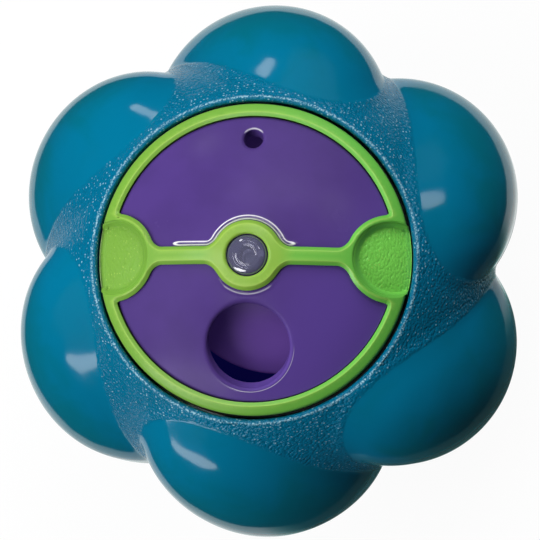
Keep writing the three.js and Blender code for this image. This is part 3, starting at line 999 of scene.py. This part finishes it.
def gloss_and_highlight(x, y):
    """How glossy a place on the panel is, with painted highlight: the bead most, then one side of the holes'
    rounded edges.
    """
    lid = settings("lid")
    above = y - lid.vent_offset
    past_vent = math.hypot(x, above) - lid.vent_radius
    vent = VENT_HIGHLIGHT * bell((past_vent / lid.vent_lip - 0.45) / 0.4) * ease(above / lid.vent_radius)
    below = -lid.treat_offset - y
    past_hole = math.hypot(x, below) - lid.treat_radius
    hole = HOLE_HIGHLIGHT * bell((past_hole / lid.hole_lip - 1) / 0.2)
    return max(bead_share(x, y), vent, hole * ease((0.6 * x + below) / lid.treat_radius))


def panel_holes():
    """Radius, place along Y and rounded edge of the vent and the treat hole."""
    lid = settings("lid")
    vent = (lid.vent_radius, lid.vent_offset, lid.vent_lip)
    treat_hole = (lid.treat_radius, -lid.treat_offset, lid.hole_lip)
    return vent, treat_hole


def under_pad(x, y):
    """1 under a finger pad, 0 away from it."""
    return ease((settings("lid").pad_radius - PAD_CLEAR - pad_place(x, y)) / PAD_RAMP)


def panel_top(x, y):
    """Height of the panel's upper face: a dome with a bead, let down under the finger pads."""
    lid = settings("lid")
    sunk = lid.frame_rise + (lid.scoop_depth + lid.pad_floor + FIT - lid.frame_rise) * under_pad(x, y)
    lips = sum(quarter_round(math.hypot(x, y - at) - radius, lip) for radius, at, lip in panel_holes())
    return dome(math.hypot(x, y), sunk) + lid.bead_rise * bead_share(x, y) - lips


def panel_under(x, y):
    lid = settings("lid")
    depth = lid.frame_rise + lid.panel_wall
    return dome(math.hypot(x, y), depth + under_pad(x, y) * lid.panel_sag)


def lean_holes(bm):
    """Draws the under face towards the axis round both holes, so that they stand square on the dome."""
    lid = settings("lid")
    vent, treat_hole = panel_holes()
    for vert in bm.verts:
        x, y, z = vert.co
        if z > (panel_top(x, y) + panel_under(x, y)) / 2:
            continue
        radius, at, _ = vent if y > 0 else treat_hole
        beyond = math.hypot(x, y - at) - radius
        vert.co.y -= math.copysign(lid.bore_lean, at) * (1 - ease(beyond / lid.lean_reach))
        vert.co.z = panel_under(x, vert.co.y)


def half_panel(bm, radius, at, lip):
    """One half of the panel in plan: rows of faces from its outline to the rounded edge of its hole."""
    edge = panel_edge()
    bore = pin_bore()
    steps = PANEL_LINE_STEPS
    line = [edge - (edge - bore) * i / steps for i in range(1, steps)]
    outline = arc((0, 0), edge, 0, math.pi, PANEL_SIDES)
    outline += [(-x, 0) for x in line]
    outline += arc((0, 0), bore, math.pi, 0, PANEL_BORE_STEPS)
    outline += [(x, 0) for x in reversed(line)]
    edges = draw_loop(bm, [(x, math.copysign(y, at)) for x, y in outline])
    centre = Vector((0, at, 0))
    mouth = radius + lip
    outer = PANEL_OUTER_SHARE
    shares = [outer * i / PANEL_OUTER_ROWS for i in range(1, PANEL_OUTER_ROWS + 1)]
    shares += [outer + (1 - outer) * i / PANEL_INNER_ROWS for i in range(1, PANEL_INNER_ROWS + 1)]
    before = 0.0
    for share in shares:
        def inward(point):
            way = point - centre
            full = (way.length - mouth * before) / (1 - before)
            return centre + way.normalized() * (full * (1 - share) + mouth * share)
        edges = extrude_loop(bm, edges, inward)
        before = share
    for i in range(1, HOLE_LIP_ROWS + 1):
        reach = radius + lip * (1 - math.sin(math.pi / 2 * i / HOLE_LIP_ROWS))
        edges = extrude_loop(bm, edges, lambda point: centre + (point - centre).normalized() * reach)


def panel_riser():
    """The wall under the panel's edge, with the flange that the frame's ring stands on."""
    lid = settings("lid")
    edge = panel_edge()
    inner = edge - lid.riser_wall
    flange_edge = FRAME_OUTER - lid.flange_inset
    top = flange_top()
    low = top - lid.flange
    stub = top + RISER_STUB
    corners = [(inner, low), (flange_edge, low), (flange_edge, top), (edge, top), (edge, stub), (inner, stub)]
    bm = turned(rounded(corners, MOULD_ROUND, 3))
    for vert in bm.verts:
        if vert.co.z > top + 0.6 * RISER_STUB:
            vert.co.z = panel_top(vert.co.x, vert.co.y) - RISER_SINK
    return bm


def pivot_boss():
    lid = settings("lid")
    under = dome(0, lid.frame_rise + lid.panel_wall)
    section = band(pin_bore(), lid.boss_radius, under - lid.boss_drop, under + BOSS_SINK)
    return turned(rounded(section, MOULD_ROUND, 3), steps=72)


def stop_peg():
    """The peg under the panel that stops the shutter at both ends of its turn."""
    lid = settings("lid")
    radius = lid.peg_radius
    out = panel_edge() - lid.riser_wall - lid.peg_inset
    top = dome(out, lid.frame_rise + lid.panel_wall) + PEG_SINK
    low = dome(out, shutter_depth()) - PEG_PAST_SHUTTER
    outline = [(0, low), (radius - MOULD_ROUND, low), (radius, low + MOULD_ROUND), (radius, top), (0, top)]
    bm = turned(outline, steps=32)
    place = (out * math.cos(lid.peg_at), out * math.sin(lid.peg_at), 0)
    bmesh.ops.translate(bm, verts=bm.verts[:], vec=place)
    return bm


class TREATBALL_OT_lid_dome(bpy.types.Operator):
    """Builds the domed lid panel with its treat hole, vent, bead, flange, boss and stop peg"""

    bl_idname = "treat_ball.lid_dome"
    bl_label = "Lid dome"

    def execute(self, context):
        bm = bmesh.new()
        for radius, at, lip in panel_holes():
            half_panel(bm, radius, at, lip)
        bmesh.ops.remove_doubles(bm, verts=bm.verts[:], dist=MERGE)
        by_bead = {vert for vert in bm.verts if bead_share(vert.co.x, vert.co.y) > BEAD_FINE}
        fine = [edge for edge in bm.edges if by_bead.intersection(edge.verts)]
        bmesh.ops.subdivide_edges(bm, edges=fine, cuts=2, use_grid_fill=True)
        drape(bm, panel_top, panel_under)
        lean_holes(bm)
        # The bead attribute: gloss and painted highlight.
        bead = bm.verts.layers.float.new("bead")
        for vert in bm.verts:
            vert[bead] = gloss_and_highlight(vert.co.x, vert.co.y)
        join(bm, panel_riser())
        join(bm, pivot_boss())
        join(bm, stop_peg())
        finish = settings("finish")
        purple = purple_plastic("purple_plastic", finish.purple, finish.lit_side_purple)
        add_piece("lid_dome", bm, purple, "lid", ["lid_panel"])
        return {"FINISHED"}


# Lid frame


FRAME_NEAR = 0.05 * MM
FRAME_SHARP = 32
FRAME_ROWS = [0.1 * MM, 0.25 * MM, 0.35 * MM, 0.2 * MM, 0.12 * MM, 0.12 * MM]
FRAME_GRID = 1.3 * MM
RING_SIDES = 150
RING_BITE_SIDES = 40
HUB_SIDES = 72
SCOOP_ROWS = [0.1 * MM, 0.2 * MM, 0.25 * MM, 0.3 * MM, 0.35 * MM, 0.4 * MM]
SCOOP_GRID = 1 * MM
SCOOP_RIM_SIDES = 28
SCOOP_SIDES = 64
SHOULDER_WIDTH = 0.22 * MM
WINDOW_MIDDLE = 20 * MM
WINDOW_SIDES = 420
WALK_STEPS = 60
WALK_SHARE = 0.9


def frame_top(x, y):
    """Height of the frame's upper face, with its bevelled windows and rounded edges."""
    lid = settings("lid")
    radius = math.hypot(x, y)
    into = -outside_frame(x, y)
    bevel = lid.chamfer_drop * max(1 - into / lid.chamfer, 0)
    edges = quarter_round(FRAME_OUTER - radius, lid.ring_round)
    edges += quarter_round(pad_place(x, y) - lid.scoop_radius, lid.scoop_round)
    edges += quarter_round(radius - lid.hub_hole, lid.hub_round)
    return dome(radius, 0) - bevel - edges


def frame_under(x, y):
    lid = settings("lid")
    radius = math.hypot(x, y)
    if radius > FRAME_OUTER - lid.ring_width - FRAME_NEAR:
        return flange_top() + FIT
    deep = pad_place(x, y) < lid.pad_radius + FRAME_NEAR
    return dome(radius, lid.scoop_depth + lid.pad_floor if deep else lid.frame_rise - FIT)


def scoop_top(x, y):
    lid = settings("lid")
    into = lid.scoop_radius - pad_place(x, y)
    depth = lid.scoop_round + (lid.scoop_depth - lid.scoop_round) * ease(into / lid.scoop_slope)
    rim = quarter_round(FRAME_OUTER + lid.pad_bulge - math.hypot(x, y), lid.ring_round)
    return dome(math.hypot(x, y), depth) - rim


def window(side):
    """Outline of a window of the frame, found by walking out from its middle to the frame's edge."""
    start = Vector((0, side * WINDOW_MIDDLE))
    outline = []
    for i in range(WINDOW_SIDES):
        turn = math.tau * i / WINDOW_SIDES
        way = Vector((math.cos(turn), math.sin(turn)))
        walked = 0.0
        for _ in range(WALK_STEPS):
            point = start + way * walked
            walked += outside_frame(point.x, point.y) * WALK_SHARE
        outline.append(tuple(start + way * walked))
    return outline


def bite(radius):
    """Angle, about the axis and about a pad, of the corner where a scoop meets a circle about the axis."""
    lid = settings("lid")
    pad = FRAME_OUTER - lid.pad_inset
    x = (radius ** 2 + pad ** 2 - lid.scoop_radius ** 2) / (2 * pad)
    y = math.sqrt(radius ** 2 - x * x)
    return math.atan2(y, x), math.atan2(y, x - pad)


def frame_plate():
    """The frame without its scoops' floors."""
    lid = settings("lid")
    pad = FRAME_OUTER - lid.pad_inset
    about_axis, about_pad = bite(FRAME_OUTER)
    half = math.pi
    outer = arc((0, 0), FRAME_OUTER, about_axis, half - about_axis, RING_SIDES)
    outer += arc((-pad, 0), lid.scoop_radius, half - about_pad, about_pad - half, RING_BITE_SIDES)[1:-1]
    outer += arc((0, 0), FRAME_OUTER, half + about_axis, 2 * half - about_axis, RING_SIDES)
    outer += arc((pad, 0), lid.scoop_radius, -about_pad, about_pad - 2 * half, RING_BITE_SIDES)[1:-1]
    bm = bmesh.new()
    loops = [outer, circle(lid.hub_hole, HUB_SIDES), window(1), window(-1)]
    fill_plate(bm, loops, FRAME_ROWS, FRAME_GRID)
    drape(bm, frame_top, frame_under)
    # Where the frame's shoulder gets its painted highlight.
    shoulder_highlight = bm.verts.layers.float.new("shoulder_highlight")
    for vert in bm.verts:
        vert[shoulder_highlight] = bell((outside_frame(vert.co.x, vert.co.y) + lid.chamfer) / SHOULDER_WIDTH)
    return bm


def scoop_floor(turn):
    """The floor of a finger scoop, on the side that the turn gives."""
    lid = settings("lid")
    edge = FRAME_OUTER + lid.pad_bulge
    about_axis, about_pad = bite(edge)
    centre = ((FRAME_OUTER - lid.pad_inset) * math.cos(turn), 0)
    start = turn + about_pad
    end = turn + math.tau - about_pad
    outline = arc((0, 0), edge, turn - about_axis, turn + about_axis, SCOOP_RIM_SIDES)
    outline += arc(centre, lid.scoop_radius, start, end, SCOOP_SIDES)[1:-1]
    bm = bmesh.new()
    fill_plate(bm, [outline], SCOOP_ROWS, SCOOP_GRID)
    drape(bm, scoop_top, frame_under)
    return bm


class TREATBALL_OT_lime_frame(bpy.types.Operator):
    """Builds the lime frame: ring, crossbar, hub and two finger scoops"""

    bl_idname = "treat_ball.lime_frame"
    bl_label = "Lime frame"

    def execute(self, context):
        bm = frame_plate()
        for turn in (0, math.pi):
            join(bm, scoop_floor(turn))
        add_piece("lime_frame", bm, lime_plastic(), "lid", ["grip_frame"], FRAME_SHARP)
        return {"FINISHED"}


# Pin


PIN_END_EDGE = 0.3 * MM
HEAD_EDGE = 0.15 * MM
HEAD_RIM = 0.4 * MM
HEAD_ROUND = 0.35 * MM
HEAD_ROWS = 96
HEAD_SHARP = 45
CROWN_INSET = 0.08 * MM
SLOPE_START = 3.3 * MM
SLOPE = 0.46
SLOPE_CURVE = 0.11 / MM
RING_RADIUS = 2.4 * MM
RING_WIDTH = 0.14 * MM
RING_RISE = 0.07 * MM


class TREATBALL_OT_clear_pin(bpy.types.Operator):
    """Builds the clear pivot pin with its crowned head"""

    bl_idname = "treat_ball.clear_pin"
    bl_label = "Clear pin"

    def execute(self, context):
        lid = settings("lid")
        low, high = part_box("pivot_pin")
        shaft = lid.pin_radius
        head = high.x
        seat = dome(0, lid.frame_rise) + FIT
        rim = seat + HEAD_RIM
        crown = high.z - rim - CROWN_INSET
        outline = [(0, low.z), (shaft - PIN_END_EDGE, low.z), (shaft, low.z + PIN_END_EDGE), (shaft, seat)]
        outline += [(head - HEAD_EDGE, seat), (head, seat + HEAD_EDGE), (head, rim)]
        for i in range(1, HEAD_ROWS + 1):
            radius = head * (1 - i / HEAD_ROWS)
            edge = quarter_round(head - radius, HEAD_ROUND) / HEAD_ROUND
            out = max(radius - SLOPE_START, 0)
            slope = SLOPE * out + SLOPE_CURVE * out * out
            ring = RING_RISE * bell((radius - RING_RADIUS) / RING_WIDTH)
            outline.append((radius, rim + (crown - slope) * (1 - edge) + ring))
        pin = turned(outline, steps=96)
        add_piece("clear_pin", pin, clear_plastic(), "lid", ["pivot_pin"], HEAD_SHARP)
        return {"FINISHED"}


# Under the lid


SHUTTER_SIDES = 300
SHUTTER_STEP_TURN = 1e-4  # in radians, over which the edge drops back to where the spiral begins
SHUTTER_BORE_SIDES = 48
SHUTTER_ROWS = [0.1 * MM, 0.2 * MM, 0.3 * MM]
SHUTTER_GRID = 1.4 * MM
SHUTTER_HUB_ROUND = 0.4 * MM


def shutter_edge(turn):
    """Radius of the shutter's edge at an angle."""
    lid = settings("lid")
    share = ((turn - lid.spiral_start) % math.tau) / lid.spiral_sweep
    return lid.spiral_least + (SHUTTER_EDGE - lid.spiral_least) * min(share, 1)


class TREATBALL_OT_shutter_disc(bpy.types.Operator):
    """Builds the spiral shutter that sets the opening of the treat hole"""

    bl_idname = "treat_ball.shutter_disc"
    bl_label = "Shutter disc"

    def execute(self, context):
        lid = settings("lid")
        depth = shutter_depth()
        start = lid.spiral_start
        turns = [start + math.tau * i / SHUTTER_SIDES for i in range(SHUTTER_SIDES)]
        turns.append(start + math.tau - SHUTTER_STEP_TURN)
        outline = [(shutter_edge(t) * math.cos(t), shutter_edge(t) * math.sin(t)) for t in turns]

        def top(x, y):
            radius = math.hypot(x, y)
            into = shutter_edge(math.atan2(y, x)) - radius
            return dome(radius, depth) - quarter_round(into, lid.shutter_round)

        def under(x, y):
            return dome(math.hypot(x, y), depth + lid.shutter_wall)

        bm = bmesh.new()
        fill_plate(bm, [outline, circle(pin_bore(), SHUTTER_BORE_SIDES)], SHUTTER_ROWS, SHUTTER_GRID)
        drape(bm, top, under)
        hub_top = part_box("shutter")[1].z
        hub = band(pin_bore(), lid.shutter_hub_radius, hub_top - lid.shutter_hub, hub_top)
        join(bm, turned(rounded(hub, SHUTTER_HUB_ROUND), steps=72))
        finish = settings("finish")
        mauve = purple_plastic("mauve_plastic", finish.mauve, finish.mauve, finish.mauve_glow)
        add_piece("shutter_disc", bm, mauve, "shutter", ["shutter"])
        return {"FINISHED"}


LUGS = 3
RING_STEPS = 144
LEDGE_STEPS = 36
LUG_STEPS = 14
STOP_STEPS = 4
BAYONET_ROUND = 0.25 * MM
LUG_ROUND = 0.4 * MM
SEAL_ROUND = 0.38 * MM


def socket_ring():
    """The bayonet ring: a wall with three ledges for the lugs to lock under, and stops at their ends."""
    lid = settings("lid")
    edge = BAYONET_ROUND
    low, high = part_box("bayonet_ring")
    track = panel_edge() + lid.lug_reach + lid.track_gap
    ledge = panel_edge() + lid.ledge_gap
    bm = bmesh.new()
    spin(bm, rounded(band(track, high.x, low.z, high.z), edge, 3), RING_STEPS)
    shelf = rounded(band(ledge, track + edge, high.z - lid.ledge, high.z), edge, 3)
    post = rounded(band(ledge, track + edge, low.z, high.z), edge, 3)
    third = math.tau / LUGS
    past_lug = lid.lug_turn / 2 + lid.stop_gap
    for i in range(LUGS):
        at = third * i
        spin(bm, shelf, LEDGE_STEPS, third - lid.notch_turn, at + lid.notch_turn / 2)
        for turn in (at + past_lug, at - past_lug - lid.stop_turn - lid.lock_turn):
            spin(bm, post, STOP_STEPS, lid.stop_turn, turn)
    clean(bm)
    return bm


def lug_skirt():
    lid = settings("lid")
    low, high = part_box("lug_ring")
    skirt = panel_edge()
    bm = bmesh.new()
    spin(bm, rounded(band(skirt - lid.skirt_wall, skirt, low.z, high.z), BAYONET_ROUND, 3), RING_STEPS)
    lug = band(skirt - BAYONET_ROUND, skirt + lid.lug_reach, low.z, low.z + lid.lug)
    for i in range(LUGS):
        start = math.tau / LUGS * i - lid.lug_turn / 2
        spin(bm, rounded(lug, LUG_ROUND), LUG_STEPS, lid.lug_turn, start)
    clean(bm)
    return bm


def seal_ring():
    low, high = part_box("lid_seal")
    inner = panel_edge() + settings("lid").ledge_gap + FIT
    return turned(rounded(band(inner, high.x, low.z, high.z), SEAL_ROUND, 5))


class TREATBALL_OT_bayonet(bpy.types.Operator):
    """Builds the bayonet ring in the socket, and the lug ring and seal of the lid"""

    bl_idname = "treat_ball.bayonet"
    bl_label = "Bayonet, lugs and seal"

    def execute(self, context):
        finish = settings("finish")
        dark = moulded("dark_plastic", finish.dark, 0.35, DARK_GRAIN)
        add_piece("socket_ring", socket_ring(), dark, "shell", ["bayonet_ring"])
        purple = purple_plastic("skirt_plastic", finish.purple, finish.purple)
        add_piece("lug_skirt", lug_skirt(), purple, "lid", ["lug_ring"])
        soft = moulded("soft_rubber", finish.soft, 0.62, RUBBER_GRAIN)
        add_piece("seal_ring", seal_ring(), soft, "seal", ["lid_seal"])
        return {"FINISHED"}


WASHER_ROUND = 0.35 * MM
WAVE_SHEET = 0.35 * MM
WAVE_ROUND = 0.1 * MM
WAVES = 3
NUT_SHEET = 0.4 * MM
NUT_TONGUES = 4
NUT_TONGUE_HALF = 0.55  # half the angle of a tongue, in radians
NUT_SLOT_START = 0.62  # angle from a tongue's middle to the slot beside it, in radians
NUT_SLOT_SHARE = 0.78  # of the nut's radius, that the slots reach
NUT_DISH = 1.2
NUT_SIDES = 64
NUT_ROWS = [0.08 * MM, 0.12 * MM]
NUT_GRID = 0.5 * MM


def drag_washer():
    low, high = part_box("friction_washer")
    return turned(rounded(band(pin_bore(), high.x, low.z, high.z), WASHER_ROUND), steps=72)


def wave_washer():
    low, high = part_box("spring_washer")
    wave = (high.z - low.z - WAVE_SHEET) / 2
    middle = (high.z + low.z) / 2
    section = band(pin_bore(), high.x, middle - WAVE_SHEET / 2, middle + WAVE_SHEET / 2)
    bm = turned(rounded(section, WAVE_ROUND, 3))
    for vert in bm.verts:
        vert.co.z += wave * math.cos(WAVES * math.atan2(vert.co.y, vert.co.x))
    return bm


def push_nut():
    """A dished sheet nut whose tongues grip the pin."""
    low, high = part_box("retaining_clip")
    bore = pin_bore()
    tongue_turn = math.tau / NUT_TONGUES
    slot_end = tongue_turn - NUT_SLOT_START
    teeth = []
    for i in range(NUT_TONGUES):
        turn = tongue_turn * i
        teeth += arc((0, 0), bore, turn - NUT_TONGUE_HALF, turn + NUT_TONGUE_HALF, 10)
        teeth += arc((0, 0), NUT_SLOT_SHARE * high.x, turn + NUT_SLOT_START, turn + slot_end, 3)

    def dished(x, y):
        share = (high.x - math.hypot(x, y)) / (high.x - bore)
        return low.z + (high.z - low.z - NUT_SHEET) * ease(share * NUT_DISH)

    bm = bmesh.new()
    fill_plate(bm, [circle(high.x, NUT_SIDES), teeth], NUT_ROWS, NUT_GRID)
    drape(bm, lambda x, y: dished(x, y) + NUT_SHEET, dished)
    return bm


class TREATBALL_OT_pivot_stack(bpy.types.Operator):
    """Builds the drag washer, wave washer and push nut on the pin"""

    bl_idname = "treat_ball.pivot_stack"
    bl_label = "Pivot stack"

    def execute(self, context):
        steel = spring_steel()
        soft = moulded("washer_rubber", settings("finish").soft, 0.6, RUBBER_GRAIN)
        add_piece("drag_washer", drag_washer(), soft, "lid", ["friction_washer"])
        add_piece("wave_washer", wave_washer(), steel, "lid", ["spring_washer"])
        add_piece("push_nut", push_nut(), steel, "lid", ["retaining_clip"])
        return {"FINISHED"}


# Stage


# Name, azimuth and elevation in degrees, width and height in metres, radiance and any roll in degrees.
SOFT_LAMPS = (
    ("left_key", 190, 40, 0.55, 0.55, 4.5),
    ("back_key", 80, 36, 0.55, 0.55, 5.2),
    ("overhead", 125, 72, 0.4, 0.4, 1.6),
    ("front_fill", 230, 35, 0.4, 0.4, 3.7),
)
GLINT_LAMPS = (
    ("back_left_glint", 118, 27, 0.12, 0.1, 4.6),
    ("back_right_glint", 43, 50, 0.15, 0.16, 3.6),
    ("front_left_glint", -124, 31, 0.52, 0.12, 5.0, 22),
    ("ceiling_glint", 88, 57, 0.5, 0.16, 2.0),
    ("strip_glint", 172, 69, 0.07, 0.36, 5.0),
    ("hub_glint", 100, 74, 0.12, 0.05, 6.0),
    ("front_top_glint", -120, 72, 0.3, 0.07, 5.0),
)
SENSOR_WIDTH = 36
IMAGE_WIDTH = 540
ROOM_COLOUR = (0.9, 0.95, 1, 1)
FLOOR_COLOUR = (0.95, 0.95, 0.95, 1)
FLOOR_SIDES = 128
DIM_SIDE = (0.74, -0.67, 0)
DIM_TINT = (0.3, 1, 0.9, 1)
DIM_START = 50 * MM
DIM_FULL = 62 * MM


def softbox(name, azimuth, elevation, width, height, radiance, roll=0, mirrored=False):
    """An area light round the ball; those that are mirrored show as highlights only."""
    turn = math.radians(azimuth)
    rise = math.radians(elevation)
    way = Vector((math.cos(turn) * math.cos(rise), math.sin(turn) * math.cos(rise), math.sin(rise)))
    data = bpy.data.lights.new(name, "AREA")
    data.shape = "ELLIPSE"
    data.size = width
    data.size_y = height
    data.energy = radiance * math.pi ** 2 / 4 * width * height
    lamp = add_object(name, data)
    lamp.location = Vector((0, 0, EQUATOR)) + way * settings("stage").lamp_distance
    lamp.rotation_mode = "QUATERNION"
    level = (-way).to_track_quat("-Z", "Y")
    lamp.rotation_quaternion = level @ Quaternion((0, 0, 1), math.radians(roll))
    lamp.visible_glossy = mirrored
    lamp.visible_diffuse = not mirrored


def set_camera():
    stage = settings("stage")
    side = stage.azimuth
    level = math.cos(stage.elevation)
    back = Vector((math.sin(side) * level, -math.cos(side) * level, math.sin(stage.elevation)))
    right = Vector((0, 1, 0)).cross(back).normalized()
    up = back.cross(right)
    across = right * math.cos(stage.roll) + up * math.sin(stage.roll)
    upward = up * math.cos(stage.roll) - right * math.sin(stage.roll)
    data = bpy.data.cameras.new("camera")
    data.sensor_width = SENSOR_WIDTH
    data.lens = stage.scale * (stage.distance / MM) / IMAGE_WIDTH * SENSOR_WIDTH
    camera = add_object("camera", data)
    turn = Matrix((across, upward, back)).transposed().to_4x4()
    camera.matrix_world = Matrix.Translation(Vector((0, 0, EQUATOR)) + back * stage.distance) @ turn
    bpy.context.scene.camera = camera


def set_world():
    """White to the camera, also through clear plastic; a dim room to all else."""
    world = bpy.data.worlds.new("studio")
    bpy.context.scene.world = world
    graph = Graph(world)
    white = graph.node("ShaderNodeBackground", None, {"Color": WHITE, "Strength": 1.0})
    dim = {"Color": ROOM_COLOUR, "Strength": settings("stage").ambient}
    room = graph.node("ShaderNodeBackground", None, dim)
    graph.node("ShaderNodeOutputWorld", None, {"Surface": graph.mix_shader(graph.seen(), room, white)})


def white_floor():
    """White to the camera; its mirror image is dimmer and greener on one side. It is open from below."""
    material, graph = new_material("white_floor")
    seen = graph.seen()
    mirrored = graph.ray("Glossy")
    outward = graph.vector_math("NORMALIZE", graph.place())
    away = graph.vector_math("DOT_PRODUCT", outward, DIM_SIDE, out="Value")
    beside = graph.ramp(graph.from_axis(), DIM_START, DIM_FULL)
    lit = graph.ramp(away * beside, 0.62, 0.8, 0.9, 0.08)
    tint = graph.mix(mirrored * (1.0 - lit), WHITE, DIM_TINT)
    matt = graph.node("ShaderNodeBsdfDiffuse", None, {"Color": FLOOR_COLOUR})
    glow = graph.node("ShaderNodeEmission", None, {"Color": tint, "Strength": seen + mirrored * lit})
    above = graph.mix_shader((seen + mirrored) * 0.95, matt, glow)
    from_below = graph.node("ShaderNodeNewGeometry", out="Backfacing")
    shader = graph.mix_shader(from_below, above, graph.node("ShaderNodeBsdfTransparent"))
    graph.node("ShaderNodeOutputMaterial", None, {"Surface": shader})
    return material


def set_floor():
    stage = settings("stage")
    bm = bmesh.new()
    bmesh.ops.create_circle(bm, cap_ends=True, segments=FLOOR_SIDES, radius=stage.floor_radius)
    floor = add_mesh("floor", bm, white_floor())
    floor.location.z = -stage.floor_drop


class TREATBALL_OT_stage(bpy.types.Operator):
    """Sets up the floor, the light and the camera"""

    bl_idname = "treat_ball.stage"
    bl_label = "Stage"

    def execute(self, context):
        context.scene.view_settings.view_transform = "Standard"
        set_camera()
        set_world()
        set_floor()
        for lamp in SOFT_LAMPS:
            softbox(*lamp)
        for lamp in GLINT_LAMPS:
            softbox(*lamp, mirrored=True)
        return {"FINISHED"}


OPERATORS = (
    TREATBALL_OT_front_half,
    TREATBALL_OT_rear_half,
    TREATBALL_OT_lid_dome,
    TREATBALL_OT_lime_frame,
    TREATBALL_OT_clear_pin,
    TREATBALL_OT_shutter_disc,
    TREATBALL_OT_bayonet,
    TREATBALL_OT_pivot_stack,
    TREATBALL_OT_stage,
)


class TREATBALL_PT_panel(bpy.types.Panel):
    """Lists the pieces of the ball"""

    bl_idname = "TREATBALL_PT_panel"
    bl_label = "Treat Ball"
    bl_space_type = "VIEW_3D"
    bl_region_type = "UI"
    bl_category = "Treat Ball"

    def draw(self, context):
        for operator in OPERATORS:
            self.layout.operator(operator.bl_idname)


CLASSES = (*GROUPS.values(), *OPERATORS, TREATBALL_PT_panel)


def register():
    for cls in CLASSES:
        bpy.utils.register_class(cls)
    for name, group in GROUPS.items():
        setattr(bpy.types.Scene, PREFIX + name, PointerProperty(type=group))


def unregister():
    for name in GROUPS:
        delattr(bpy.types.Scene, PREFIX + name)
    for cls in reversed(CLASSES):
        bpy.utils.unregister_class(cls)


def main():
    register()
    for operator in OPERATORS:
        group, name = operator.bl_idname.split(".")
        getattr(getattr(bpy.ops, group), name)()


if __name__ == "__main__":
    main()
